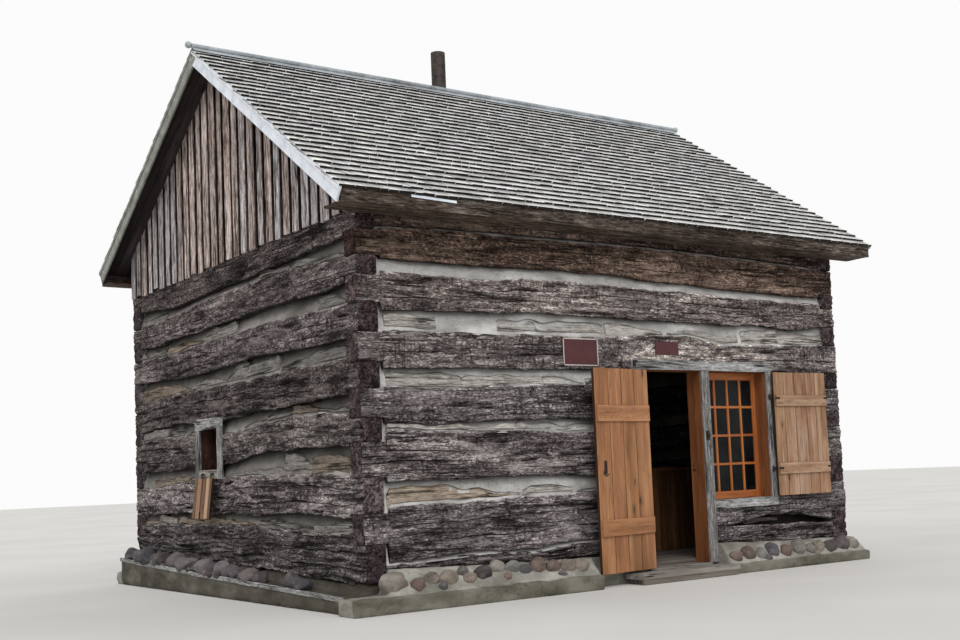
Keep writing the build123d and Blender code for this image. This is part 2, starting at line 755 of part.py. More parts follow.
def make_roof():
    def slope_outline(tip, fascia_face):
        towards = 1 if fascia_face > tip else -1
        inner = fascia_face + towards * fascia_thickness
        thin = shingle_thickness
        return [(ridge_place, ridge_height), (tip, roof_top(tip)), (tip, roof_level(tip, thin)),
                (inner, roof_level(inner, thin)), (inner, roof_level(inner, roof_depth)),
                (ridge_place, ridge_level(towards))]

    def ridge_level(towards):
        pitch = front_pitch if towards > 0 else back_pitch
        return ridge_height - roof_depth / math.cos(pitch)

    front_tip = -front_eave_overhang
    front_face = front_tip + fascia_setback
    back_face = back_tip - fascia_setback
    front = side_prism(slope_outline(front_tip, front_face), roof_start, roof_end)
    back = side_prism(slope_outline(back_tip, back_face), roof_start, roof_end)
    pipe_hole = upright_cylinder(pipe_along, pipe_across, pipe_foot, pipe_top, pipe_radius + pipe_clearance)
    save("front_roof", front)
    save("back_roof", back - pipe_hole)

    def eave_boards(face, foot, wall):
        towards = 1 if wall > face else -1
        inner = face + towards * fascia_thickness
        thin = shingle_thickness
        fascia = side_prism([(face, foot), (inner, foot), (inner, roof_level(inner, thin)),
                             (face, roof_level(face, thin))], roof_start, roof_end)
        soffit = block(roof_start, roof_end, min(inner, wall), max(inner, wall),
                       foot, foot + soffit_thickness)
        return fascia + soffit

    save("front_eave_boards", eave_boards(front_face, front_fascia_foot, 0))
    save("back_eave_boards", eave_boards(back_face, back_fascia_foot, wall_depth))

    def barge(tip, pitch, start, end):
        towards = 1 if tip < ridge_place else -1
        across = barge_width / math.cos(pitch)
        cut = barge_width * math.sin(pitch)
        drop = barge_width * math.cos(pitch)
        outline = [(ridge_place, ridge_height), (tip, roof_top(tip)),
                   (tip + towards * cut, roof_top(tip) - drop), (ridge_place, ridge_height - across)]
        return side_prism(outline, start, end)

    for name, start, end in (("left_barge_boards", roof_start - barge_thickness, roof_start),
                             ("right_barge_boards", roof_end, roof_end + barge_thickness)):
        save(name, barge(front_tip, front_pitch, start, end) + barge(back_tip, back_pitch, start, end))

    ridge_start = roof_start - barge_thickness
    ridge_stop = roof_end + barge_thickness
    front_reach = ridge_place - ridge_wing * math.cos(front_pitch)
    back_reach = ridge_place + ridge_wing * math.cos(back_pitch)
    lift = ridge_metal / math.cos(front_pitch)
    wings = side_prism([(front_reach, roof_top(front_reach)), (ridge_place, ridge_height),
                        (back_reach, roof_top(back_reach)), (back_reach, roof_top(back_reach) + lift),
                        (ridge_place, ridge_height + lift), (front_reach, roof_top(front_reach) + lift)],
                       ridge_start, ridge_stop)
    roll_start = ridge_start - ridge_ball_stand_off
    roll_stop = ridge_stop + ridge_ball_stand_off
    along = Plane(origin=(roll_start, ridge_place, ridge_height + ridge_roll_radius), z_dir=(1, 0, 0))
    roll = Solid.make_cylinder(ridge_roll_radius, roll_stop - roll_start, along)
    cap = wings + roll
    south_pole = -90
    for x in (roll_start, roll_stop):
        centre = Location((x, ridge_place, ridge_height + ridge_roll_radius))
        cap = cap + Solid.make_sphere(ridge_ball_radius, angle1=south_pole).moved(centre)
    save("ridge_cap", cap)

    pipe = upright_cylinder(pipe_along, pipe_across, pipe_foot, pipe_top, pipe_radius)
    bore = upright_cylinder(pipe_along, pipe_across, pipe_foot - cut_overshoot, pipe_top + cut_overshoot,
                            pipe_radius - pipe_wall)
    near = max(pipe_across - flashing_reach, back_reach)
    far = pipe_across + flashing_reach
    plate = side_prism([(near, roof_top(near)), (far, roof_top(far)),
                        (far, roof_top(far) + flashing_thickness),
                        (near, roof_top(near) + flashing_thickness)],
                       pipe_along - flashing_reach, pipe_along + flashing_reach)
    save("stovepipe", pipe + plate - bore)

    siding = [(0, gable_board_foot), (wall_depth, gable_board_foot),
              (wall_depth, roof_level(wall_depth, roof_depth)), (ridge_place, ridge_level(-1)),
              (ridge_place, ridge_level(1)), (0, roof_level(0, roof_depth))]
    save("left_gable_siding", side_prism(siding, -gable_board_thickness, 0))
    save("right_gable_siding", side_prism(siding, wall_length, wall_length + gable_board_thickness))


def make_barrier():
    y0 = barrier_place
    y1 = barrier_place + barrier_thickness
    top = floor_top + barrier_height
    panel = block(barrier_start + barrier_post, inner_length, y0, y1, floor_top, top - barrier_rail)
    post = block(barrier_start, barrier_start + barrier_post, y0 - barrier_thickness, y1 + barrier_thickness,
                 floor_top, top - barrier_rail)
    rail = block(barrier_start, inner_length, y0 - barrier_thickness, y1 + barrier_thickness,
                 top - barrier_rail, top)
    save("entry_barrier", panel + post + rail)


def make_plates():
    plates = []
    for x, rise, width, height in (large_plate, small_plate):
        foot = head_height + rise
        plates.append(block(x, x + width, -plate_thickness, 0, foot, foot + height))
    save("sign_plates", plates)


front_plate = make_front_logs()
back_plate = make_back_logs()
make_left_logs()
make_right_logs()
make_chinking(front_plate, back_plate)
make_footings()
make_floor()
make_door_frame()
make_sash()
save("hinge_pins", make_door() + make_shutter() + make_gable_window())
make_roof()
make_barrier()
make_plates()
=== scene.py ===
import math

import bmesh
import bpy
import numpy as np
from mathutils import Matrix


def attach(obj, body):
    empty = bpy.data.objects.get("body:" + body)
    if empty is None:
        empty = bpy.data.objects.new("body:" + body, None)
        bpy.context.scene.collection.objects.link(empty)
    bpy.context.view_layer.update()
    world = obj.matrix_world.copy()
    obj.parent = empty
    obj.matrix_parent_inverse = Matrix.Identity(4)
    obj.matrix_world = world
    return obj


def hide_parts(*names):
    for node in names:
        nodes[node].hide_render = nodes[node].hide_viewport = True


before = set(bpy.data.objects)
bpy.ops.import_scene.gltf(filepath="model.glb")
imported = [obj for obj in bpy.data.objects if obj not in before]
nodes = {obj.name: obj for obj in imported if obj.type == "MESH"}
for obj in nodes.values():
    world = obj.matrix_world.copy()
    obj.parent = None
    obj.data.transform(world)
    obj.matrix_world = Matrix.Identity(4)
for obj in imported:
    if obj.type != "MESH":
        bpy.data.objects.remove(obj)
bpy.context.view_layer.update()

# Places are in metres from the near left corner of the log walls: x along the front, y towards
# the back, z up from the ground. CENTRE is where the frame has its origin.
CENTRE = np.array([2.9455, 2.6585, 0.0])
LENGTH, DEPTH, LOG = 5.891, 5.374, 0.190
RIDGE_Y, RIDGE_Z = 2.651, 5.403
FRONT_TIP, FRONT_EAVE = -0.340, 3.385
BACK_TIP, BACK_EAVE = 5.657, 3.620
OVERHANG = 0.278
ROOF_THICKNESS = 0.0735
SIDING_FOOT = 3.289
DOOR_FOOT, WINDOW_FOOT, HEAD = 0.116, 0.716, 1.997
DOOR_LEFT, DOOR_RIGHT, WINDOW_LEFT, WINDOW_RIGHT = 3.050, 3.815, 3.925, 4.742
CASING = (-0.022, 0.0)
REVEAL = (0.001, 0.189)
# Hinge lines, as x and y or as x and z, and how far each leaf stands open in the CAD, in degrees
DOOR_AXIS, DOOR_OPEN = (3.050, -0.035), 172
SHUTTER_AXIS, SHUTTER_OPEN = (4.765, -0.035), 180
FLAP_AXIS, FLAP_OPEN = (-0.038, 1.190), 173.5
# Left end, foot, width and height of the two sign plates
PLATES = ((2.105, 2.022, 0.415, 0.258), (3.240, 2.147, 0.305, 0.129))


def stacked(*parts):
    return np.stack(parts, -1)


def lattice(cells, seed):
    """A repeatable random number from -1 to 1 for every whole-numbered cell."""
    mixed = cells[..., 0] * 73856093 ^ cells[..., 1] * 19349663 ^ cells[..., 2] * 83492791 ^ seed * 40503
    mixed = (mixed ^ mixed >> 13) * 1274126177 & 0xFFFFFFFF
    mixed = (mixed ^ mixed >> 15) * 2246822519 & 0xFFFFFFFF
    return ((mixed ^ mixed >> 13) & 0xFFFF) / 32767.5 - 1


def noise(points, wavelength, seed, octaves=1):
    """Smooth random field, about -1 to 1, with one wavelength for each axis."""
    points = np.asarray(points, float) / wavelength
    total, weight, amount = 0.0, 0.0, 1.0
    for octave in range(octaves):
        base = np.floor(points).astype(np.int64)
        part = points - base
        ease = part * part * (3 - 2 * part)
        value = 0.0
        for corner in np.ndindex(2, 2, 2):
            share = np.prod(np.where(np.array(corner) == 1, ease, 1 - ease), axis=-1)
            value = value + share * lattice(base + np.array(corner), seed * 7 + octave)
        total = total + amount * value
        weight += amount
        amount *= 0.5
        points = points * 2.03 + 17.3
    return total / weight


def line_noise(places, wavelength, seed, octaves=1):
    places = np.asarray(places, float)
    return noise(stacked(places, places * 0, places * 0), wavelength, seed, octaves)


def set_attribute(mesh, label, values):
    kind, key = ("FLOAT_VECTOR", "vector") if values.ndim == 2 else ("FLOAT", "value")
    mesh.attributes.new(label, kind, "POINT").data.foreach_set(key, values.astype(np.float32).ravel())


def put_in_frame(name, mesh, body, replaces):
    made = bpy.data.objects.new(name, mesh)
    bpy.context.scene.collection.objects.link(made)
    if replaces:
        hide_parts(*replaces)
    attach(made, body)


class Piece:
    """Mesh under construction, with its grain direction, tint and hollow depth at every point."""

    def __init__(self):
        self.points, self.grain, self.tint, self.wear, self.faces = [], [], [], [], []
        self.total = 0

    def add(self, points, faces, grain, tint=1.0, wear=0.0):
        """One closed surface. faces is a list of (corners, material number)."""
        volume = 0.0
        for corners, _ in faces:
            for k in range(1, corners.shape[1] - 1):
                a, b, c = points[corners[:, 0]], points[corners[:, k]], points[corners[:, k + 1]]
                volume += np.einsum("ij,ij->i", a, np.cross(b, c)).sum()
        for corners, material in faces:
            corners = corners if volume > 0 else corners[:, ::-1]
            self.faces.append((corners + self.total, material))
        self.points.append(points)
        self.grain.append(grain)
        self.tint.append(np.broadcast_to(tint, points.shape))
        self.wear.append(np.broadcast_to(wear, points.shape[:1]))
        self.total += len(points)

    def make(self, name, shades, slot, replaces=(), body="cabin", smooth=True):
        mesh = bpy.data.meshes.new(name)
        points = np.concatenate(self.points) - CENTRE
        points[:, 2] = np.maximum(points[:, 2], 0)
        corners = np.concatenate([group.ravel() for group, _ in self.faces])
        sizes = np.concatenate([np.full(len(group), group.shape[1]) for group, _ in self.faces])
        chosen = np.concatenate([np.full(len(group), number) for group, number in self.faces])
        mesh.vertices.add(len(points))
        mesh.vertices.foreach_set("co", points.astype(np.float32).ravel())
        mesh.loops.add(len(corners))
        mesh.loops.foreach_set("vertex_index", corners.astype(np.int32))
        mesh.polygons.add(len(sizes))
        mesh.polygons.foreach_set("loop_start", (np.cumsum(sizes) - sizes).astype(np.int32))
        mesh.polygons.foreach_set("material_index", chosen.astype(np.int32))
        mesh.polygons.foreach_set("use_smooth", np.full(len(sizes), smooth))
        mesh.update(calc_edges=True)
        for label in ("grain", "tint", "wear"):
            set_attribute(mesh, label, np.concatenate(getattr(self, label)))
        if smooth:
            mesh.set_sharp_from_angle(angle=math.radians(32))
        for shade in shades:
            mesh.materials.append(shade.material)
        put_in_frame(name, mesh, body, replaces)


def lying(order, start=(0, 0, 0), signs=(1, 1, 1)):
    """Where a long thing lies: s along it, q inwards from its outer face, z up (or across) it.

    order names which of s, q and z runs along x, y and z.
    """
    def place(*found):
        return stacked(*[start[k] + signs[k] * found["sqz".index(letter)] for k, letter in enumerate(order)])
    return place


on_front, on_left = lying("sqz"), lying("qsz")
on_back, on_right = lying("sqz", (0, DEPTH, 0), (1, -1, 1)), lying("qsz", (LENGTH, 0, 0), (-1, 1, 1))
# For a board that stands, s runs up and z along the wall. For one that lies flat, q runs down
upright_front, upright_left = lying("zqs"), lying("qzs")
flat_along_x = lying("szq", signs=(1, 1, -1))


def turned(place, centre, plane, degrees):
    """The same place after a turn about a line. plane names the two axes that the turn mixes."""
    first, second = plane
    sine, cosine = math.sin(math.radians(degrees)), math.cos(math.radians(degrees))

    def moved(s, q, z):
        points = place(s, q, z).astype(float)
        a, b = points[..., first] - centre[0], points[..., second] - centre[1]
        points[..., first] = centre[0] + a * cosine - b * sine
        points[..., second] = centre[1] + a * sine + b * cosine
        return points
    return moved


def ring(thickness, radius, rows, steps=1, cracks=(), flank=0):
    """Points round a section: share of the height, height added, depth, share of outer face, crack or not.

    rows, steps and flank say how many points its face, each front corner and each side have.
    """
    corner = [(radius * (1 - math.cos(angle)), radius * (1 - math.sin(angle)), math.sin(angle))
              for angle in np.linspace(0, math.pi / 2, steps + 1)]
    shares = [(k + 1) / (rows + 1) for k in range(rows)]
    for place in cracks:
        shares = [share for share in shares if abs(share - place) > 0.6 / (rows + 1)]
        shares += [place - 0.02, place, place + 0.02]
    small = min(radius, thickness / 4)
    side = [radius + (thickness - small - radius) * (k + 1) / (flank + 1) for k in range(flank)]
    found = [(0, *bend, 0) for bend in corner]
    found += [(share, radius * (1 - 2 * share), 0, 1, 1 if share in cracks else 0) for share in sorted(shares)]
    found += [(1, -rise, depth, face, 0) for rise, depth, face in corner[::-1]]
    found += [(1, 0, depth, 0, 0) for depth in side]
    found += [(1, 0, thickness - small, 0, 0), (1, -small, thickness, 0, 0), (0.5, 0, thickness, 0, 0),
              (0, small, thickness, 0, 0), (0, 0, thickness - small, 0, 0)]
    found += [(0, 0, depth, 0, 0) for depth in side[::-1]]
    return np.array(found)


def joined(count, around):
    """Quads between each ring of points and the next."""
    first = np.arange((count - 1) * around)
    beside = first - first % around + (first + 1) % around
    return stacked(beside, beside + around, first + around, first)


def bar(piece, place, stations, low, high, section, depth=0.0, relief=None, seed=1, tint=1.0, materials=(0, 0),
        shading=None, end_relief=0.002, end_shift=0.0, inner=None, crack_depth=0.0, wander=0.0):
    """A log or a board: its lower and upper edge at each station, and a section round it.

    materials are those of its sides and ends. shading gives the share of the tint that is left, as painted shade
    and highlight, from the place in the section and its share of outer face. inner has the edges at the back,
    where they differ.
    """
    share, added, inwards, face, crack = section.T
    count, around = len(stations), len(share)
    low, high = np.broadcast_to(low, count), np.broadcast_to(high, count)
    s = np.repeat(stations[:, None], around, 1)
    added = added * np.minimum(1, (high - low)[:, None] / 0.06)
    z = low[:, None] + share * (high - low)[:, None] + added
    if inner is not None:
        lowest, highest = inner
        back = np.clip(inwards / inwards.max(), 0, 1)
        z = z * (1 - back) + (lowest[:, None] + share * (highest - lowest)[:, None] + added) * back
    if wander:
        z = z + line_noise(stations, 0.7, seed + 3, 2)[:, None] * wander * np.sin(math.pi * share) * face
    wear = -relief(stacked(s, z, z * 0 + seed), seed) * face if relief else z * 0
    q = inwards + depth + wear
    if crack_depth:
        opening = np.clip(line_noise(stations, 0.55, seed + 11, 2)[:, None] * 1.6 + 0.35, 0, 1)
        sunk = crack * crack_depth * opening
        q, wear = q + sunk, wear + sunk
    if end_shift:
        ends = [0, -1]
        s[ends] += noise(stacked(z[ends], q[ends], z[ends] * 0 + seed), 0.05, seed + 5) * end_shift
    spot = np.random.default_rng(seed).uniform(-40, 40, 3)
    points, grain = [place(s, q, z).reshape(-1, 3)], [stacked(s, z, q).reshape(-1, 3) + spot]
    quads, fans, total = [], [], count * around
    for index, first, way in ((0, 0, -1), (-1, total - around, 1)):
        edge_s, edge_q, edge_z = s[index], q[index], z[index]
        middle_q, middle_z = edge_q.mean(), (edge_z.min() + edge_z.max()) / 2
        previous = first + np.arange(around)
        for scale in (0.8, 0.45):
            ring_q, ring_z = middle_q + (edge_q - middle_q) * scale, middle_z + (edge_z - middle_z) * scale
            rough = noise(stacked(ring_z, ring_q, ring_z * 0 + seed), 0.04, seed + 9, 2) * end_relief
            points.append(place(edge_s + rough, ring_q, ring_z))
            grain.append(stacked(edge_s * 0, ring_z, ring_q) + spot)
            now = total + np.arange(around)
            quads.append(stacked(previous, np.roll(previous, -1), np.roll(now, -1), now)[:, ::way])
            previous, total = now, total + around
        points.append(place(*np.array([[edge_s.mean()], [middle_q], [middle_z]])))
        grain.append(np.array([[0, middle_z, middle_q]]) + spot)
        fans.append(stacked(previous, np.roll(previous, -1), np.full(around, total))[:, ::way])
        total += 1
    tint = np.broadcast_to(np.array(tint, float), (total, 3)).copy()
    worn = np.zeros(total)
    worn[:count * around] = wear.ravel()
    if shading is not None:
        outward = np.maximum(face, inwards > inwards.max() - 1e-6)
        tint[:count * around] *= np.tile(shading(share, outward), count)[:, None]
    faces = ((joined(count, around), materials[0]), (np.concatenate(quads), materials[1]),
             (np.concatenate(fans), materials[1]))
    piece.add(np.concatenate(points), faces, np.concatenate(grain), tint, worn)


def painted_flank_shade(least):
    """Painted shade on the flanks, where only a share of the tint is left."""
    return lambda share, face: least + (1 - least) * face


def painted_shade_above(strength, power):
    """Painted shade that darkens the upper part."""
    return lambda share, face: 1 - strength * share ** power


def painted_shade_and_lip_highlight(share, face):
    """Painted shade on the underside and a painted highlight along the upper lip."""
    return np.where(share < 0.5, 0.35 + 0.65 * face, 1 + np.where(share > 0.999, 4.8 * face * (1 - face), 0))


def board(piece, place, s_range, z_range, q_range, seed, tint=1.0, edge=0.002, ragged=0.0012, spacing=0.12,
          rows=3, bow=0.0015, end_shift=0.0015, materials=(0, 0), shading=None):
    """A sawn board, a little out of true, with eased edges."""
    stations = np.linspace(*s_range, max(3, int(abs(s_range[1] - s_range[0]) / spacing) + 2))
    low, high = (z + line_noise(stations, 0.3, key, 2) * ragged for z, key in zip(z_range, (seed, seed + 50)))
    thickness = q_range[1] - q_range[0]
    cup = np.random.default_rng(seed).uniform(-1, 1) * bow

    def relief(field, _):
        across = (field[..., 1] - z_range[0]) / (z_range[1] - z_range[0])
        return cup * (1 - 4 * (across - 0.5) ** 2) + noise(field, (0.5, 0.03, 1), seed, 2) * bow * 0.4

    bar(piece, place, stations, low, high, ring(thickness, min(edge, thickness / 3), rows), q_range[0], relief,
        seed, tint, materials, shading, 0.0008, end_shift)


def dome(piece, place, s, q, z, radius, height, tint=1.0, sides=8):
    """Head of a nail or a bolt, on a face at depth q."""
    angles = np.arange(sides) * 2 * math.pi / sides + 3
    points = []
    for reach, lift, count in ((1, -0.002, sides), (1, height * 0.35, sides), (0.55, height, sides),
                               (0, height * 1.05, 1), (0, -0.002, 1)):
        turn = angles[:count]
        points.append(place(s + np.cos(turn) * radius * reach, turn * 0 + q - lift,
                            z + np.sin(turn) * radius * reach))
    points = np.concatenate(points)
    first, last = np.arange(sides), np.arange(sides) + 2 * sides
    fans = [stacked(last, np.roll(last, -1), first * 0 + 3 * sides),
            stacked(np.roll(first, -1), first, first * 0 + 3 * sides + 1)]
    piece.add(points, [(np.roll(joined(3, sides), 1, 1), 0), (np.concatenate(fans), 0)], points, tint)


def linear(red, green, blue):
    """A colour in steps of 255, as the share of light that it sends back."""
    shares = [step / 255 for step in (red, green, blue)]
    return tuple(v / 12.92 if v <= 0.04045 else ((v + 0.055) / 1.055) ** 2.4 for v in shares) + (1.0,)


def darker(colour, share):
    return [step * share for step in colour]


class Value:
    """Output of a shader node. Arithmetic with it adds more nodes."""

    def __init__(self, tree, socket):
        self.tree, self.socket = tree, socket

    def math(self, how, other=0.0):
        return self.tree.node("Math", {0: self, 1: other}, operation=how)

    def __add__(self, other):
        return self.math("ADD", other)

    def __sub__(self, other):
        return self.math("SUBTRACT", other)

    def __mul__(self, other):
        return self.math("MULTIPLY", other)

    def most(self, other):
        return self.math("MAXIMUM", other)

    def level(self, low, high):
        """0 at low, 1 at high."""
        return self.tree.node("MapRange", {0: self, 1: low, 2: high})

    def lines(self, edge, core):
        """1 on the lines where a noise passes its middle."""
        return (self - 0.5).math("ABSOLUTE").level(edge, core)

    def ramp(self, *stops):
        """Colour by value. Each stop is a place and a colour, in steps of 255 or as four shares of light."""
        made = self.tree.node("ValToRGB", {"Fac": self})
        elements = made.socket.node.color_ramp.elements
        while len(elements) < len(stops):
            elements.new(0.5)
        for element, (place, colour) in zip(elements, stops):
            element.position = place
            element.color = colour if len(colour) == 4 else linear(*colour)
        return made

    def mixed(self, share, other, how="MIX"):
        """This colour with a share of another, which is a value or in steps of 255."""
        other = other if isinstance(other, Value) else linear(*other)
        return self.tree.node("Mix", {0: share, 6: self, 7: other}, 2, data_type="RGBA", blend_type=how)


class Tree:
    """Nodes of a material or a world."""

    def __init__(self, owner):
        owner.use_nodes = True
        self.nodes, self.links = owner.node_tree.nodes, owner.node_tree.links

    def node(self, kind, inputs, output=0, **settings):
        made = self.nodes.new("ShaderNode" + kind)
        for label, value in settings.items():
            setattr(made, label, value)
        for label, value in inputs.items():
            if isinstance(value, Value):
                self.links.new(value.socket, made.inputs[label])
            else:
                made.inputs[label].default_value = value
        return Value(self, made.outputs[output])


class Shader(Tree):
    """Principled surface with helpers for the nodes that drive it."""

    def __init__(self, name, roughness, specular, metallic=0.0):
        self.material = bpy.data.materials.new(name)
        super().__init__(self.material)
        self.surface = self.nodes["Principled BSDF"].inputs
        for label, value in (("Roughness", roughness), ("Specular IOR Level", specular), ("Metallic", metallic)):
            self.surface[label].default_value = value

    def attribute(self, label, output="Vector"):
        return self.node("Attribute", {}, output, attribute_name=label)

    def solid(self):
        return self.node("TexCoord", {}, "Object")

    def stretched(self, scale, source=None):
        return self.node("Mapping", {"Vector": source or self.attribute("grain"), "Scale": scale})

    def noise(self, vector, scale, detail=4.0, roughness=0.6, distortion=0.0):
        return self.node("TexNoise", {"Vector": vector, "Scale": scale, "Detail": detail, "Roughness": roughness,
                                      "Distortion": distortion})

    def grain(self, along, across, detail, roughness=0.6, distortion=0.0):
        """Noise that follows the grain of the piece."""
        return self.noise(self.stretched((along, across, across)), 1.0, detail, roughness, distortion)

    def tinted(self, tone):
        return tone.mixed(1.0, self.attribute("tint"), "MULTIPLY")

    def finish(self, tone, height=None, distance=0.0):
        """Sets the colour and the relief."""
        self.links.new(tone.socket, self.surface["Base Color"])
        if height is not None:
            relief = self.node("Bump", {"Height": height, "Distance": distance, "Strength": 1.0})
            self.links.new(relief.socket, self.surface["Normal"])
        return self


def wood(name, dark, middle, light, fibre=60, checks=0.5, knots=0.0, patches=0.5, bump=0.0015, roughness=0.85,
         specular=0.2, dirt=None, knot_colour=(70, 38, 20)):
    """Wood with its grain along the first coordinate."""
    shade = Shader(name, roughness, specular)
    fine = shade.grain(3.0, fibre, 6, 0.65)
    broad = shade.grain(0.9, 5.5, 5, 0.6, 0.6)
    streaks = shade.grain(0.8, fibre / 3, 5, 0.55)
    blend = (fine * 0.45 + streaks * 0.55) * (1 - patches * 0.5) + broad * (patches * 0.5)
    tone = blend.ramp((0.32, dark), (0.5, middle), (0.66, light))
    height = fine
    if checks:
        where = shade.grain(1.6, 7, 2, 0.5).level(0.44, 0.56)
        crack = shade.grain(1.0, fibre / 2.4, 3, 0.5, 0.3).lines(0.016, 0.002) * where * checks
        tone = tone.mixed(crack, darker(dark, 0.3))
        height = height - crack * 1.2
    if knots:
        ripple = shade.grain(8, 8, 2, 0.5)
        centre = shade.node("TexVoronoi", {"Vector": shade.stretched((2.3, 6.2, 6.2)), "Scale": 1.0})
        halo = (centre + ripple * 0.12).level(0.34, 0.14)
        tone = tone.mixed(halo * (0.35 * knots), dark)
        tone = tone.mixed((centre + ripple * 0.06).level(0.15, 0.09) * knots, knot_colour)
    # Darker where sunk: dirt and painted shade in the hollows.
    worn = shade.attribute("wear", "Fac").level(0.002, 0.012)
    tone = tone.mixed(worn * 0.75, darker(dark, 0.35))
    if dirt:
        tone = tone.mixed(shade.grain(1.7, 4, 5, 0.65).level(0.5, 0.72) * 0.6, dirt)
    return shade.finish(shade.tinted(tone), height, bump)


def plain(name, colours, scale, roughness, specular=0.3, metallic=0.0, bump=0.0008, stretch=(1, 1, 1)):
    """A surface with patches of a few colours, held by the object's own coordinates."""
    shade = Shader(name, roughness, specular, metallic)
    coordinates = shade.stretched(stretch, shade.solid())
    fine = shade.noise(coordinates, scale * 9)
    value = shade.noise(coordinates, scale, 6) * 0.7 + fine * 0.3
    return shade.finish(value.ramp(*zip(np.linspace(0.36, 0.64, len(colours)), colours)), fine, bump)


def hewn_shade(name, shades, cross=1.0, along=(5, 22), fine_along=(22, 60), depth=0.012):
    """Weathered wood: fibres, long checks, cuts across them and pale flecks, which are partly worn fibres and partly
    painted highlights.
    """
    shade = Shader(name, 0.92, 0.1)
    middle = shade.grain(*along, 6, 0.72, 0.3)
    fine = shade.grain(*fine_along, 5, 0.75)
    blend = shade.grain(0.9, 4, 4, 0.6, 0.4) * 0.19 + middle * 0.32 + fine * 0.49
    tone = blend.ramp(*zip((0.41, 0.474, 0.533, 0.592), shades))
    crack = shade.grain(0.5, 14, 3, 0.5, 0.4).lines(0.032, 0.012)
    hair = shade.grain(1.7, 44, 2, 0.5, 0.3).lines(0.020, 0.004)
    crack = crack.most(hair * 0.6) * shade.grain(1.8, 6, 2, 0.5).level(0.42, 0.52)
    cut = shade.grain(12, 3.2, 2, 0.45, 0.5).lines(0.034, 0.012)
    cut = cut * shade.grain(2.4, 6, 3, 0.5).level(0.47, 0.56) * cross
    lines = crack.most(cut)
    tone = tone.mixed(lines * 0.85, (22, 17, 16))
    # Darker where sunk, as dirt and painted shade in the hollows; paler where proud, as a painted highlight.
    worn = shade.attribute("wear", "Fac")
    tone = tone.mixed(worn.level(0.008, 0.022) * 0.66, (26, 21, 20))
    tone = tone.mixed(worn.level(-0.004, -0.012) * 0.3, shades[-1])
    return shade.finish(shade.tinted(tone), middle * 0.9 + fine * 0.8 - lines * 0.7, depth)


def mortar_shade(name, dark, middle, light):
    shade = Shader(name, 0.92, 0.12)
    solid = shade.solid()
    sand = shade.noise(solid, 160, 3, 0.7)
    value = shade.noise(shade.stretched((2.2, 2.2, 5), solid), 1.0, 6, 0.62) * 0.72 + sand * 0.28
    tone = value.ramp((0.36, dark), (0.5, middle), (0.6, light))
    crack = shade.noise(solid, 3.1, 5, 0.6, 0.4).lines(0.006, 0.001)
    tone = tone.mixed(crack * 0.5, darker(dark, 0.5))
    # Darker where sunk: dirt and painted shade in the hollows.
    worn = shade.attribute("wear", "Fac").level(0.0, 1.0)
    tone = tone.mixed(worn * 0.7, darker(dark, 0.45))
    return shade.finish(shade.tinted(tone), shade.noise(solid, 26, 5) * 0.8 + sand * 0.2, 0.004)


def stone_shade():
    shade = Shader("fieldstone", 0.75, 0.25)
    solid = shade.solid()
    speck = shade.noise(solid, 70, 5, 0.75)
    band = shade.noise(shade.stretched((7, 7, 16), solid), 1.0, 4, 0.6, 0.8)
    value = (speck * 0.5 + band * 0.5).ramp((0.36, (0.42, 0.42, 0.42, 1)), (0.5, (0.9, 0.9, 0.9, 1)),
                                            (0.62, (1.2, 1.2, 1.2, 1)))
    tone = shade.attribute("tint").mixed(1.0, value, "MULTIPLY")
    dust = shade.noise(solid, 14, 5).level(0.52, 0.7)
    return shade.finish(tone.mixed(dust * 0.26, (160, 154, 146)), speck, 0.004)


# Materials
hewn = hewn_shade("hewn_log", ((30, 26, 26), (82, 76, 76), (128, 121, 120), (208, 203, 200)), 0.8, (6, 26), (30, 84))
log_end = hewn_shade("log_end", ((27, 23, 25), (66, 53, 55), (97, 85, 88), (130, 121, 125)), 1.0, (16, 16), (50, 50))
splint = hewn_shade("splint", ((108, 101, 95), (160, 155, 149), (188, 184, 179), (218, 216, 212)), 0.0,
                    (3, 26), (12, 80), 0.006)
grey = hewn_shade("grey_board", ((70, 68, 67), (124, 123, 122), (154, 154, 154), (200, 201, 202)), 0.2,
                  (3, 30), (12, 90), 0.003)
siding_wood = hewn_shade("gable_board", ((44, 32, 28), (142, 131, 126), (198, 194, 194), (240, 241, 245)), 0.2,
                         (2.4, 26), (9, 90), 0.004)
eave_wood = hewn_shade("eave_board", ((34, 28, 24), (76, 64, 57), (106, 94, 86), (154, 146, 140)), 0.2,
                       (3, 24), (12, 80), 0.004)
door_wood = wood("door_board", (104, 66, 40), (162, 113, 76), (196, 150, 110), 40, 0.5, 0.9, 0.8, 0.0010, 0.65, 0.3,
                 (120, 88, 64), (66, 36, 22))
shutter_wood = wood("shutter_board", (96, 66, 46), (156, 124, 98), (196, 170, 146), 36, 0.6, 1.0, 0.9, 0.0010, 0.75,
                    0.25, (132, 78, 44), (66, 36, 22))
lining_wood = wood("lining_board", (88, 48, 27), (134, 82, 49), (166, 112, 72), 45, 0.5, 0.8, 0.7, 0.0007, 0.6, 0.3)
sash_wood = wood("sash_wood", (120, 62, 26), (170, 98, 46), (196, 126, 68), 50, 0.1, 0.0, 0.4, 0.0004, 0.5, 0.4)
floor_wood = wood("floor_board", (70, 62, 56), (108, 99, 91), (138, 130, 121), 45, 0.6, 0.3, 0.6, 0.0012)
step_wood = wood("step_plank", (92, 87, 80), (138, 133, 126), (172, 168, 161), 45, 1.0, 0.0, 0.9, 0.002)
flap_wood = wood("flap_board", (84, 62, 50), (134, 108, 88), (176, 154, 132), 45, 0.8, 0.4, 0.8, 0.001)
barrier_wood = wood("barrier_board", (60, 40, 27), (98, 68, 46), (140, 104, 74), 45, 0.3, 0.2, 0.5, 0.001)
shingle_wood = wood("shingle", (138, 136, 133), (204, 204, 204), (244, 245, 248), 60, 0.7, 0.0, 0.7, 0.0012)
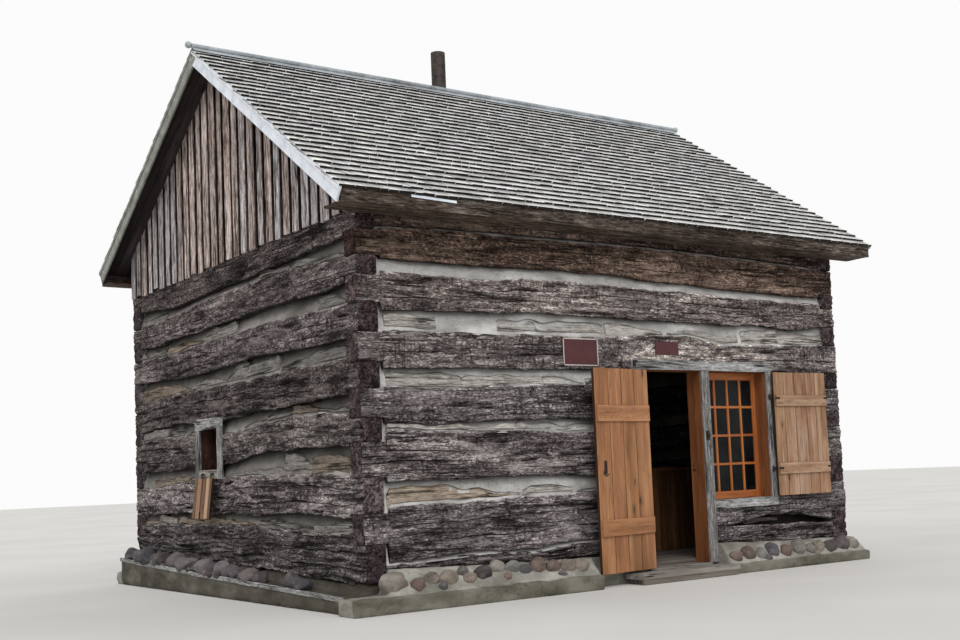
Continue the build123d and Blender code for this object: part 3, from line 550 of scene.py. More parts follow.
# Shingle butts are coloured nearly black, partly moss and partly painted shade along the butt lines.
butt_wood = wood("shingle_butt", (22, 20, 19), (36, 33, 31), (58, 54, 50), 60, 0.0, 0.0, 0.6, 0.001)
rake_wood = wood("rake_board", (30, 23, 24), (51, 43, 44), (80, 70, 70), 45, 0.8, 0.8, 0.8, 0.0015,
                 knot_colour=(24, 16, 14))
# A near-black sheet behind the gable boards: painted shade in the gaps.
backing = plain("painted_shade_backing", [(6, 5, 5), (12, 10, 9)], 8, 0.95, 0.0)
iron = plain("iron", [(26, 23, 22), (44, 38, 34), (68, 52, 42)], 40, 0.7, 0.4, 0.35, 0.0006)
ridge_metal = plain("ridge_metal", [(126, 130, 132), (164, 170, 174), (192, 198, 203)], 3, 0.55, 0.3, 0.0, 0.0005)
pipe_metal = plain("pipe_metal", [(36, 31, 31), (58, 52, 51), (80, 71, 67), (66, 63, 63)], 9, 0.7, 0.3, 0.35, 0.001)
plate_face = plain("plate", [(62, 24, 27), (76, 30, 33), (86, 38, 40)], 6, 0.45, 0.4, 0.0, 0.0002)
plate_edge = plain("plate_edge", [(186, 176, 172), (206, 198, 194)], 8, 0.5, 0.4, 0.0, 0.0002)
pale_metal = plain("barge_metal", [(204, 213, 225), (236, 241, 249), (246, 250, 255)], 2.5, 0.55, 0.35, 0.0, 0.0004,
                   (1, 3, 3))
green_metal = plain("barge_weathered", [(112, 112, 104), (138, 140, 132), (158, 162, 156)], 2.5, 0.7, 0.25, 0.0,
                    0.0006, (1, 3, 3))
chink_mortar = mortar_shade("chinking_mortar", (136, 134, 131), (178, 176, 173), (212, 211, 208))
bank_mortar = mortar_shade("bank_mortar", (104, 101, 92), (142, 139, 131), (176, 173, 165))
fieldstone = stone_shade()
# Near-black glass, its dark colour painting the shade of the room behind it.
glass = Shader("window_glass", 0.08, 0.09)
glass.finish(glass.noise(glass.solid(), 3, 3).ramp((0.4, (9, 10, 11)), (0.6, (24, 27, 28))),
             glass.noise(glass.solid(), 9, 2), 0.0006)


def solids(node):
    """Points and triangles of each separate solid of a CAD node."""
    mesh = nodes[node].data
    mesh.calc_loop_triangles()
    points = np.zeros(len(mesh.vertices) * 3)
    mesh.vertices.foreach_get("co", points)
    points = points.reshape(-1, 3) + CENTRE
    triangles = np.zeros(len(mesh.loop_triangles) * 3, np.int32)
    mesh.loop_triangles.foreach_get("vertices", triangles)
    _, first, shared = np.unique(np.round(points * 20000).astype(np.int64), axis=0, return_index=True,
                                 return_inverse=True)
    triangles = shared.reshape(-1)[triangles].reshape(-1, 3)
    points = points[first]
    group = np.arange(len(points))
    while True:
        lowest = group[triangles].min(1)
        fresh = group.copy()
        for k in range(3):
            np.minimum.at(fresh, triangles[:, k], lowest)
        if (fresh == group).all():
            break
        group = fresh
    return [(points, triangles[group[triangles[:, 0]] == number]) for number in np.unique(group[triangles[:, 0]])]


def outline(solid, depth_axis, along_axis, level):
    """Edges of the flat face of a solid that lies at one depth."""
    points, triangles = solid
    flat = triangles[(np.abs(points[triangles][:, :, depth_axis] - level) < 0.0008).all(1)]
    edges = np.sort(np.concatenate([flat[:, [0, 1]], flat[:, [1, 2]], flat[:, [2, 0]]]), 1)
    edges, uses = np.unique(edges, axis=0, return_counts=True)
    return points[edges[uses == 1]][:, :, [along_axis, 2]]


def edges_at(lines, places):
    """Lowest and highest point of an outline at each place along it."""
    low, high = np.full(len(places), np.inf), np.full(len(places), -np.inf)
    for (s0, z0), (s1, z1) in lines:
        if abs(s1 - s0) < 1e-6:
            continue
        share = (places - s0) / (s1 - s0)
        hit = (share >= -1e-6) & (share <= 1 + 1e-6)
        z = z0 + (z1 - z0) * share
        low[hit] = np.minimum(low, z)[hit]
        high[hit] = np.maximum(high, z)[hit]
    good = np.isfinite(low) & np.isfinite(high)
    return [np.interp(places, places[good], edge[good]) for edge in (low, high)]


def stations_of(lines, spacing):
    """Places along a log: even steps, with a pair at each sudden change of height."""
    start, end = lines[:, :, 0].min(), lines[:, :, 0].max()
    places = list(np.linspace(start, end, max(3, int((end - start) / spacing))))
    upright = lines[np.abs(lines[:, 0, 0] - lines[:, 1, 0]) < 1e-6][:, 0, 0]
    for jump in np.unique(np.round(upright, 4)):
        if start + 0.01 < jump < end - 0.01:
            places = [place for place in places if abs(place - jump) > 0.006] + [jump - 0.003, jump + 0.003]
    return np.array(sorted(places))


def log_relief(rough, wall):
    """Relief of a hewn face, flatter where the two plates are screwed on."""
    def relief(field, seed):
        found = noise(field, (0.55, 0.16, 1), seed, 2) * 0.011
        found = found + noise(field, (0.14, 0.07, 1), seed + 1, 2) * 0.006
        found = found + noise(field, (0.26, 0.028, 1), seed + 2, 2) * 0.008 * rough
        found = found + noise(field, (0.07, 0.018, 1), seed + 6, 1) * 0.005 * rough
        found = found - np.clip(noise(field, (0.34, 0.045, 1), seed + 4, 2) - 0.20, 0, 1) * 0.05 * rough
        if rough > DEEP_FURROWS:
            bend = noise(field, (0.5, 0.3, 1), 5)[..., None] * (0, 0.05, 0)
            furrows = noise(field + bend, (1.4, 0.035, 1), seed, 1)
            found = found * 0.5 - np.clip(0.3 - np.abs(furrows), 0, 1) * 0.07
        if wall == "front":
            for x, z, width, height in PLATES:
                beyond = np.maximum(np.abs(field[..., 0] - x - width / 2) - width / 2,
                                    np.abs(field[..., 1] - z - height / 2) - height / 2)
                share = np.clip(beyond / 0.04, 0, 1)
                found = found * share + np.minimum(found, -0.003) * (1 - share)
        return found
    return relief


# How a wall lies, the axes of its thickness and length, and the places of its outer and inner face
WALLS = {"front": (on_front, 1, 0, 0.0, LOG), "back": (on_back, 1, 0, DEPTH, DEPTH - LOG),
         "left": (on_left, 0, 1, 0.0, LOG), "right": (on_right, 0, 1, LENGTH, LENGTH - LOG)}
# Height above which a log has this tint and roughness, from the top down
WEATHERING = {
    "front": ((3.2, (0.62, 0.50, 0.42), 0.7), (2.85, (0.88, 0.68, 0.54), 0.7), (2.4, (1.52, 1.44, 1.40), 0.8),
              (1.9, (1.05, 1.01, 1.0), 0.8), (1.48, (1.0, 0.98, 1.0), 1.0), (0.95, (1.14, 1.11, 1.11), 1.0),
              (0.45, (0.98, 0.96, 0.98), 1.1), (-1, (0.8, 0.77, 0.78), 1.2)),
    "left": ((3.0, (0.72, 0.67, 0.66), 0.9), (2.6, (0.90, 0.83, 0.84), 0.9), (2.2, (0.86, 0.80, 0.82), 1.0),
             (1.7, (0.66, 0.62, 0.61), 1.1), (1.2, (0.80, 0.76, 0.75), 1.2), (0.75, (1.34, 1.30, 1.31), 1.3),
             (-1, (0.76, 0.74, 0.75), 1.9))}
DEEP_FURROWS = 1.7
SILL_SETBACK = 0.015


def weathering(wall, middle):
    """Tint and roughness of a log by its wall and height."""
    for level, tint, rough in WEATHERING.get(wall, ()):
        if middle > level:
            return tint, rough
    shade = 0.84 + 0.16 * lattice(np.array([[int(middle * 40), 3, 5]]), 2)[0]
    return (shade, shade * 0.96, shade * 0.96), 1.1


def logs(node, wall, spacing, rows, seed):
    """Every log of a CAD node, hewn and weathered, on the outline that the node gives."""
    place, depth_axis, along_axis, outer, inner = WALLS[wall]
    piece = Piece()
    for number, solid in enumerate(solids(node)):
        setback = 0.0
        lines = outline(solid, depth_axis, along_axis, outer)
        if not len(lines):
            setback = SILL_SETBACK
            lines = outline(solid, depth_axis, along_axis, outer + math.copysign(setback, inner - outer))
        places = stations_of(lines, spacing)
        low, high = edges_at(lines, places)
        key = seed + number * 17
        tint, rough = weathering(wall, (low.mean() + high.mean()) / 2)
        calm = np.ones(len(places))
        if places[0] < 0.01:
            calm *= np.clip((places - 0.20) / 0.10, 0.25, 1)
        if places[-1] > (LENGTH if depth_axis == 1 else DEPTH) - 0.01:
            calm *= np.clip((places[-1] - 0.20 - places) / 0.10, 0.25, 1)
        low, high = (edge + (line_noise(places, 0.24, key + k, 1) * 0.011
                             + line_noise(places, 0.07, key + k + 2, 2) * 0.010) * calm * rough ** 0.5
                     for edge, k in ((low, 20), (high, 30)))
        cracks = sorted(np.random.default_rng(key).uniform(0.22, 0.78, 2 if (high - low).mean() > 0.24 else 1))
        if len(cracks) == 2 and cracks[1] - cracks[0] < 0.15:
            cracks = [0.3, 0.66]
        # Logs get painted shade underneath and a painted highlight on the upper lip.
        bar(piece, place, places, low, high, ring(LOG - setback, 0.016, rows, 2, cracks, 1), setback,
            log_relief(rough, wall), key, tint, (0, 1), painted_shade_and_lip_highlight, 0.012, 0.006,
            edges_at(outline(solid, depth_axis, along_axis, inner), places), 0.024, 0.014)
        if wall == "front" and low.min() > 1.9 and high.max() < 2.5:
            points = piece.points[-1]
            pale = np.clip(1 - np.abs(points[:, 0] - 3.78) / 1.05, 0, 0.12) / 0.12
            pale = pale * np.clip(noise(points, (0.4, 1, 0.05), 8, 2) * 3 + 0.75, 0, 1)
            piece.tint[-1] = piece.tint[-1] * (1 + pale[:, None] * np.array([1.15, 1.15, 1.05]))
    piece.make(node + "_hewn", [hewn, log_end], "hewn_log", [node])


for node, wall, spacing, rows, seed in (("front_logs_upper", "front", 0.020, 27, 101),
                                        ("front_logs_left", "front", 0.018, 28, 202),
                                        ("front_logs_right", "front", 0.020, 24, 303),
                                        ("front_logs_low_right", "front", 0.020, 24, 404),
                                        ("left_logs_upper", "left", 0.021, 27, 505),
                                        ("left_logs_middle", "left", 0.020, 27, 606),
                                        ("left_logs_lower", "left", 0.019, 30, 707),
                                        ("back_logs", "back", 0.060, 8, 808),
                                        ("right_logs", "right", 0.060, 8, 909)):
    logs(node, wall, spacing, rows, seed)


def mortar_relief(field, seed):
    return noise(field, (0.16, 0.05, 1), seed, 3) * 0.012 + noise(field, (0.03, 0.02, 1), seed + 1, 2) * 0.003


def splint_relief(field, seed):
    return noise(field, (0.20, 0.022, 1), seed, 2) * 0.007 + noise(field, (0.05, 0.012, 1), seed + 1, 2) * 0.003


CHINK_LAP = 0.018
# How far the mortar leans back under the log above, how far its foot stands out, and its tint and the painted shade
# under the log above
CHINKS = {"front": (0.040, 0.012, 1.0, painted_shade_above(0.78, 3)), "left": (0.066, 0.008, (0.64, 0.61, 0.58), painted_shade_above(0.92, 1.2)),
          "back": (0.03, 0.005, (0.64, 0.61, 0.58), painted_shade_above(0.92, 1.2))}
CHINKS["right"] = CHINKS["back"]


def splints(piece, wall, places, low, high, setback, key, rng):
    """Split wood pressed in the mortar of one joint here and there, between low and high."""
    front = wall == "front"
    s = places[0] + rng.uniform(0.0, 0.12)
    while s < places[-1] - 0.2:
        end = min(s + rng.uniform(0.45, 0.8 if rng.random() < 0.4 else 1.6), places[-1] - 0.01)
        stations = np.linspace(s, end, max(8, int((end - s) / 0.035)))
        gap_low = np.interp(stations, places, low) + CHINK_LAP
        gap_high = np.interp(stations, places, high) - CHINK_LAP
        room = (gap_high - gap_low).min()
        if room > 0.030 and rng.random() < 0.85 and end - s > 0.12:
            tall = room * rng.uniform(0.40, 0.84)
            share = (stations - s) / (end - s)
            reach, end_share = rng.uniform(0.01, 0.06, 2), rng.uniform(0.72, 1.0, 2)
            if rng.random() < 0.5:
                wedge = int(rng.integers(2))
                reach[wedge], end_share[wedge] = rng.uniform(0.5, 1.0), 0.2
            taper = np.minimum(end_share[0] + share / reach[0], end_share[1] + (1 - share) / reach[1])
            slant = (share - 0.5) * rng.uniform(-0.25, 0.25) * room
            ragged = line_noise(stations, 0.16, key, 3) * 0.018
            foot = gap_low + room * rng.uniform(0.02, 0.20) + ragged * 0.6
            head = np.minimum(foot + tall * np.minimum(taper, 1) + ragged + slant, gap_high - 0.006)
            tone = rng.uniform(0.80, 1.08) * (0.95 if front else 0.54)
            brown = rng.random() < (0.07 if front else 0.40)
            section = ring(0.060, 0.006, 5)
            section[:, 2] += np.where(section[:, 3] > 0, section[:, 0] * rng.uniform(0.006, 0.034), 0)
            sunk = setback - (0.016 if front else 0.010) + rng.uniform(-0.004, 0.006)
            # Splints get painted shade on their flanks.
            bar(piece, WALLS[wall][0], stations, foot, head, section, sunk, splint_relief, int(rng.integers(5000)),
                (tone, tone * (0.86 if brown else 0.99), tone * (0.73 if brown else 0.98)), (1, 1), painted_flank_shade(0.72))
        s = end + rng.uniform(-0.02, 0.09)


def chinks():
    """Mortar of every joint, worn back under the log above, with split wood pressed in here and there."""
    piece = Piece()
    for number, solid in enumerate(solids("chinking")):
        points = solid[0][np.unique(solid[1])]
        lowest, highest = points.min(0), points.max(0)
        span = highest - lowest
        if span[0] > span[1] and span[1] < 0.17:
            wall = "front" if lowest[1] < 1 else "back"
        else:
            wall = "left" if lowest[0] < 1 else "right"
        place, depth_axis, along_axis, outer, _ = WALLS[wall]
        near = lowest[depth_axis] if outer < 1 else highest[depth_axis]
        lines = outline(solid, depth_axis, along_axis, near)
        setback = abs(near - outer)
        close = wall in ("front", "left")
        places = stations_of(lines, 0.03 if close else 0.10)
        low, high = edges_at(lines, places)
        low, high = low - CHINK_LAP, high + CHINK_LAP
        key = 1200 + number * 13
        section = ring(LOG - 0.028 - setback, 0.004, 6 if close else 2)
        lean, lip, tint, shading = CHINKS[wall]
        section[:, 2] += np.where(section[:, 3] > 0, section[:, 0] * lean - lip, 0)
        rotten = setback > 0.1
        # Mortar deep in the rotten hole is tinted near black, as painted shade of the hole.
        bar(piece, place, places, low, high, section, setback, mortar_relief, key,
            (0.06, 0.055, 0.05) if rotten else tint, shading=shading)
        if rotten:
            for foot, start, end, tall in ((0.462, 4.16, 4.86, 0.040), (0.520, 4.74, 5.36, 0.024)):
                stations = np.linspace(start, end, 22)
                ragged = line_noise(stations, 0.10, 31, 2) * 0.016
                bar(piece, place, stations, foot + ragged, foot + tall + ragged * 0.6, ring(0.08, 0.006, 4), 0.045,
                    splint_relief, 37, (0.20, 0.175, 0.165), (1, 1), painted_flank_shade(0.12))
        elif close and not (wall == "front" and lowest[2] > 2.7):
            splints(piece, wall, places, low, high, setback, key, np.random.default_rng(key))
    piece.make("chinking_worn", [chink_mortar, splint], "mortar", ["chinking"])


chinks()


# Roof
def slope_frame(front):
    """Places on a roof slope: s up the slope from the eave, z along the ridge, q down into the roof."""
    tip = np.array([FRONT_TIP, FRONT_EAVE]) if front else np.array([BACK_TIP, BACK_EAVE])
    ridge = np.array([RIDGE_Y, RIDGE_Z])
    length = float(np.linalg.norm(ridge - tip))
    up = (ridge - tip) / length
    inwards = np.array([up[1], -up[0]]) * (1 if front else -1)

    def place(s, q, z):
        return stacked(z, tip[0] + up[0] * s + inwards[0] * q, tip[1] + up[1] * s + inwards[1] * q)
    return place, length


SHINGLE_CORNERS = np.array([[0, 1, 2, 3], [7, 6, 5, 4], [1, 5, 6, 2], [0, 3, 7, 4], [3, 2, 6, 7]])
SHINGLE_BUTT = np.array([[0, 4, 5, 1]])
# Share of the tint at the eight corners of a shingle, a gradient of dirt and painted shade: bright at its foot, dark
# under the next course
SHINGLE_SHADE_AND_DIRT = np.array([1.42, 1.42, 0.02, 0.02, 1, 1, 0.02, 0.02])[:, None]
DECK = (0.025, 0.060)


def shingle_slope(name, front, seed):
    """Courses of split shingles over a boarded deck."""
    piece = Piece()
    place, length = slope_frame(front)
    rng = np.random.default_rng(seed)
    courses = 28 if front else 27
    exposure = (length - 0.02) / courses
    left, right = -0.312, LENGTH + 0.312
    for course in range(courses + 1):
        start = course * exposure - (0.0 if course else 0.004)
        x = left + rng.uniform(-0.004, 0.004)
        while x < right - 0.01:
            width = min(rng.uniform(0.075, 0.19), right - x)
            if right - x - width < 0.05:
                width = right - x
            foot = max(0.0, start + rng.uniform(-0.005, 0.005) + (0.014 if rng.random() < 0.05 else 0))
            head = min(foot + exposure * 1.65, length - 0.004)
            if head - foot < 0.03:
                x += width
                continue
            lift, tilt, tall = rng.uniform(0.0, 0.004), rng.uniform(0.018, 0.024), rng.uniform(0.017, 0.022)
            top = min(lift + tilt * (head - foot) / exposure, 0.034)
            gap, skew = rng.uniform(0.002, 0.007), rng.uniform(-0.003, 0.003)
            a, b = x + gap / 2, x + width - gap / 2
            s = np.maximum(0, np.array([foot, foot + skew, head, head, foot, foot + skew, head, head]))
            z = np.array([a, b, b, a, a, b, b, a])
            q = np.clip(np.array([lift, lift + rng.uniform(-0.002, 0.002), top, top, lift + tall, lift + tall,
                                  top + 0.003, top + 0.003]), 0.0, 0.038)
            tone = rng.uniform(0.88, 1.16) if rng.random() < 0.85 else rng.uniform(0.65, 0.88)
            tint = np.array((tone, tone * rng.uniform(0.975, 1.005), tone * rng.uniform(0.94, 1.0)))
            piece.add(place(s, q, z), [(SHINGLE_CORNERS, 0), (SHINGLE_BUTT, 1)],
                      stacked(s, z, q) + rng.uniform(-40, 40, 3), tint * SHINGLE_SHADE_AND_DIRT)
            x += width
    run = (0.03, length - 0.03)
    board(piece, place, run, (0.002, LENGTH - 0.002), DECK, seed + 1, materials=(2, 2), spacing=0.5)
    for near_end in (True, False):
        for number in (0, 1):
            reach = number * OVERHANG / 2
            span = (-OVERHANG + reach + 0.002, -OVERHANG + reach + OVERHANG / 2 - 0.002)
            span = span if near_end else (LENGTH - span[1], LENGTH - span[0])
            board(piece, place, run, span, DECK, seed + 5 + number, rng.uniform(0.85, 1.1), materials=(2, 2),
                  spacing=0.2)
    piece.make(name + "_shingles", [shingle_wood, butt_wood, rake_wood], "shingle", [name], smooth=False)


def roof_top(y):
    front = RIDGE_Z - (RIDGE_Z - FRONT_EAVE) / (RIDGE_Y - FRONT_TIP) * (RIDGE_Y - y)
    back = RIDGE_Z - (RIDGE_Z - BACK_EAVE) / (BACK_TIP - RIDGE_Y) * (y - RIDGE_Y)
    return np.minimum(front, back)


def barges(side):
    """Metal-faced barge boards of one gable, with a folded drip edge along the top."""
    piece = Piece()
    left = side == "left"
    outer, way = (-OVERHANG - 0.022, 1) if left else (LENGTH + OVERHANG + 0.022, -1)
    for front in (True, False):
        place, length = slope_frame(front)
        metal = dict(materials=(0, 0) if front and left else (1, 1))
        run, tip = (0.004, length - 0.008), length - 0.004

        def across(s, q, z, place=place):
            """z runs down from the roof's top, q from the outer face in."""
            return place(s, z, outer + way * q)

        board(piece, across, run, (0.026, 0.155), (0.002, 0.022), 31 + front, spacing=0.25, rows=2, **metal)
        board(piece, across, run, (0.020, 0.052), (-0.008, 0.001), 41 + front, spacing=0.25, rows=1, edge=0.0015,
              **metal)
        for k in range(13):
            dome(piece, across, 0.12 + k * (length - 0.2) / 12, 0.001, 0.088, 0.006, 0.003, 0.7, 6)
        board(piece, across, (tip - 0.012, tip), (0.026, 0.14), (0.0, 0.022), 51 + front, **metal)
    piece.make(side + "_barge_metal", [pale_metal, green_metal], "barge_board", [side + "_barge_boards"])


def eaves(name, front):
    """Fascia and soffit under one eave, in lengths that butt together."""
    piece = Piece()
    face, foot, way = (FRONT_TIP + 0.028, 3.250, 1) if front else (BACK_TIP - 0.028, 3.451, -1)
    head, start, end, thick = roof_top(face) - 0.03, -OVERHANG, LENGTH + OVERHANG, 0.022
    upright = lying("sqz", (0, face, 0), (1, way, 1))
    for number, (a, b, tone) in enumerate(((start, 2.05, 0.78), (2.05, 4.35, 0.72), (4.35, end, 0.82))):
        board(piece, upright, (a, b - 0.003), (foot, head), (0.0, thick), 61 + number, tone, ragged=0.003,
              spacing=0.08, rows=5)

    def flat(s, q, z):
        return upright(s, thick + z, foot + q)

    depth = abs((0.0 if front else DEPTH) - face) - thick
    for number in range(2):
        board(piece, flat, (start, end), (number * depth / 2 + 0.001, (number + 1) * depth / 2 - 0.002),
              (0.001, 0.018), 71 + number, (0.9, 0.86, 0.82), spacing=0.2)
    piece.make(name + "_weathered", [eave_wood], "eave_board", [name])


def bent_strip():
    """A length of bent metal left along the top of the front fascia."""
    piece = Piece()
    stations = np.linspace(0.36, 0.80, 12)
    low = 3.345 - (stations - 0.36) * 0.03
    bar(piece, on_front, stations, low, low + 0.022, ring(0.003, 0.0008, 1), FRONT_TIP + 0.022)
    piece.make("fascia_strip", [pale_metal], "barge_board")


def siding(side, seed):
    """Upright boards of a gable, with painted shade in the gaps between them and uneven feet."""
    piece = Piece()
    rng = np.random.default_rng(seed)
    face, way = (-0.030, 1) if side == "left" else (LENGTH + 0.030, -1)

    def boarded(s, q, z):
        """s is a share of the way from the foot to the roof, z runs across the gable."""
        return stacked(face + way * q, z, SIDING_FOOT + s * (roof_top(z) - ROOF_THICKNESS - SIDING_FOOT))

    count = 29
    edges = np.linspace(0.0, DEPTH, count + 1) + np.concatenate([[0], rng.uniform(-0.014, 0.014, count - 1), [0]])
    for number, (a, b) in enumerate(zip(edges, edges[1:])):
        gap = rng.uniform(0.048, 0.064)
        tone = rng.uniform(0.96, 1.34)
        hue = (1.02, 0.89, 0.83) if rng.random() < 0.38 else (1.00, 0.98, 1.00)
        middle = (a + b) / 2
        tall = float(roof_top(middle)) - ROOF_THICKNESS - SIDING_FOOT
        stations = np.linspace(0, 1, max(4, int(tall / 0.10)))
        stations[0] = -rng.uniform(0.0, 0.035) / max(tall, 0.1)
        low = a + gap / 2 + line_noise(stations * tall, 0.5, seed + number, 2) * 0.003
        high = b - gap / 2 + line_noise(stations * tall, 0.5, seed + number + 90, 2) * 0.003
        cup = rng.uniform(-0.004, 0.004)

        def relief(field, key, middle=middle, cup=cup):
            across = field[..., 1] - middle
            return cup * (1 - across ** 2 / 0.006) + noise(field * (3, 1, 1), (0.9, 0.02, 1), key) * 0.0016

        bar(piece, boarded, stations, low, high, ring(0.022, 0.003, 4), rng.uniform(0.0, 0.005), relief,
            seed + number * 3, tuple(tone * share for share in hue), shading=painted_flank_shade(0.12))
        piece.grain[-1] = piece.grain[-1] * np.array([tall, 1, 1])
    # Near-black backing sheet behind the boards, as painted shade in the gaps.
    for a, b in ((0.0, RIDGE_Y), (RIDGE_Y, DEPTH)):
        bar(piece, boarded, np.linspace(0, 1, 3), a, b, ring(0.002, 0.0005, 0), 0.0278, seed=seed, materials=(1, 1))
    piece.make(side + "_gable_boards", [siding_wood, backing], "gable_board", [side + "_gable_siding"])


shingle_slope("front_roof", True, 21)
shingle_slope("back_roof", False, 22)
barges("left")
barges("right")
eaves("front_eave_boards", True)
eaves("back_eave_boards", False)
bent_strip()
siding("left", 81)
siding("right", 82)


# Doorway and window
def boarded_piece(name, shade, slot, node, *rows):
    """A piece of boards alone. Each row has a board's settings, its place and ranges, its seed and tint."""
    piece = Piece()
    for settings, *row in rows:
        board(piece, *row, **settings)
    piece.make(name, [shade], slot, [node])


def frame_boards():
    worn = dict(spacing=0.05, ragged=0.004, rows=8, bow=0.004)
    full = (DOOR_FOOT, HEAD)
    boarded_piece("left_casing_board", grey, "grey_board", "left_casing",
                  (worn, upright_front, full, (2.952, DOOR_LEFT), CASING, 301, (1.0, 0.98, 0.95)))
    boarded_piece("middle_post_boards", grey, "grey_board", "middle_post",
                  (worn, upright_front, full, (DOOR_RIGHT, WINDOW_LEFT), CASING, 302, (0.80, 0.78, 0.76)),
                  ({}, upright_front, (DOOR_FOOT, 2.020), (3.841, 3.899), (0.001, 0.190), 303, (0.7, 0.66, 0.62)))
    boarded_piece("right_casing_board", grey, "grey_board", "right_casing",
                  (worn, upright_front, (WINDOW_FOOT, HEAD), (WINDOW_RIGHT, 4.830), CASING, 304, (0.92, 0.90, 0.88)))
    boarded_piece("lintel_board_weathered", grey, "grey_board", "lintel_board",
                  (dict(spacing=0.05, ragged=0.005, rows=9, bow=0.005), on_front, (2.902, 4.830), (HEAD, 2.096),
                   CASING, 305, 1.02))
    boarded_piece("window_sill_boards", grey, "grey_board", "window_sill",
                  (worn, on_front, (WINDOW_LEFT, 4.830), (0.630, WINDOW_FOOT), CASING, 306, (1.0, 0.99, 0.97)),
                  (dict(spacing=0.06), flat_along_x, (3.842, 4.766), (-0.004, 0.189), (-WINDOW_FOOT, -0.690), 307,
                   (0.95, 0.9, 0.84)))
    lining = Piece()
    for x, way, foot, seed in ((DOOR_LEFT, -1, DOOR_FOOT, 341), (DOOR_RIGHT, 1, DOOR_FOOT, 349),
                               (WINDOW_LEFT, -1, WINDOW_FOOT, 350), (WINDOW_RIGHT, 1, WINDOW_FOOT, 358)):
        board(lining, lying("qzs", (x, 0, 0), (way, 1, 1)), (foot, HEAD), REVEAL, (0.0, 0.025), seed, rows=4)
    # Head linings are darker, as painted shade under the lintel.
    for span in ((3.025, 3.840), (3.900, 4.767)):
        board(lining, flat_along_x, span, REVEAL, (-2.021, -HEAD), 321, 0.8)
    lining.make("reveal_lining_boards", [lining_wood], "lining_board", ["reveal_linings"])
    irons = Piece()
    for place, s_range, z_range, q_range, seed in (
            (upright_front, (1.310, 1.400), (3.836, 3.882), (-0.034, -0.021), 331),
            (upright_front, (1.335, 1.375), (3.842, 3.872), (-0.050, -0.033), 332),
            (upright_front, (2.030, 2.085), (2.925, 2.955), (-0.036, -0.021), 333),
            (on_front, (2.925, 2.975), (2.072, 2.086), (-0.040, -0.021), 334)):
        board(irons, place, s_range, z_range, q_range, seed, edge=0.003)
    for height, y, radius in ((1.060, 0.150, 0.010), (1.020, 0.150, 0.013), (1.015, 0.135, 0.008)):
        dome(irons, lying("qzs", (DOOR_RIGHT, 0, 0)), height, 0.0, y, radius, 0.002)
    irons.make("doorway_irons", [iron], "iron")


def sash():
    piece = Piece()
    y0, y1 = 0.140, 0.176
    stile, foot, head, bar_width = 0.056, 0.076, 0.077, 0.027
    inner = (WINDOW_LEFT + stile, WINDOW_RIGHT - stile)
    for a, b, seed in ((WINDOW_LEFT, inner[0], 366), (inner[1], WINDOW_RIGHT, 373)):
        board(piece, upright_front, (WINDOW_FOOT, HEAD), (a, b), (y0, y1), seed, edge=0.004)
    board(piece, on_front, inner, (WINDOW_FOOT, WINDOW_FOOT + foot), (y0, y1), 341, (0.95, 0.9, 0.88), edge=0.004)
    board(piece, on_front, inner, (HEAD - head, HEAD), (y0, y1), 342, edge=0.004)
    floor, top = WINDOW_FOOT + foot, HEAD - head
    width = (WINDOW_RIGHT - WINDOW_LEFT - 2 * stile - 3 * bar_width) / 4
    height = (top - floor - 3 * bar_width) / 4
    thin = (y0 + 0.003, y1 - 0.003)
    for k in range(1, 4):
        a = inner[0] + k * width + (k - 1) * bar_width
        board(piece, upright_front, (floor, top), (a, a + bar_width), thin, 350 + k, edge=0.008)
        z = floor + k * height + (k - 1) * bar_width
        board(piece, on_front, inner, (z, z + bar_width), thin, 360 + k, edge=0.008)
    piece.make("window_sash_varnished", [sash_wood], "sash_wood", ["window_sash"])


def floor_and_step():
    piece = Piece()
    edges = np.linspace(LOG, DEPTH - LOG, 31)
    rng = np.random.default_rng(5)
    for number, (a, b) in enumerate(zip(edges, edges[1:])):
        board(piece, flat_along_x, (LOG, LENGTH - LOG), (a + 0.002, b - 0.002), (-0.150, -0.121), 400 + number,
              rng.uniform(0.8, 1.1), spacing=0.4)
    # A thin sheet under the planks, tinted dark as painted shade in the gaps.
    board(piece, flat_along_x, (0.192, LENGTH - 0.192), (0.192, DEPTH - 0.192), (-0.1205, -0.120), 399, 0.3,
          spacing=1.0, edge=0.0002)
    piece.make("floor_planks", [floor_wood], "floor_board", ["floor_boards"])
    boarded_piece("door_threshold_worn", step_wood, "floor_board", "door_threshold",
                  (dict(edge=0.006, spacing=0.05, rows=5, bow=0.004), flat_along_x, (3.026, 3.839), (-0.022, 0.188),
                   (-0.116, -0.076), 431, (0.9, 0.88, 0.86)))
    plank = dict(edge=0.006, spacing=0.05, rows=4, bow=0.004, ragged=0.004)
    boarded_piece("door_step_planks", step_wood, "step_plank", "door_step",
                  (plank, flat_along_x, (2.685, 3.925), (-0.298, -0.165), (-0.100, -0.050), 432),
                  (plank, flat_along_x, (2.700, 3.920), (-0.158, -0.026), (-0.097, -0.048), 433, 0.9),
                  (dict(spacing=0.05, rows=4, bow=0.004, ragged=0.003), on_front, (2.692, 3.922), (0.004, 0.054),
                   (-0.290, -0.262), 434, (0.74, 0.71, 0.67)),
                  *[(dict(spacing=0.05), upright_front, (0.0, 0.052), (x, x + 0.09), (-0.262, -0.030), seed, 0.6)
                    for x, seed in ((2.74, 467), (3.30, 473), (3.82, 478))])


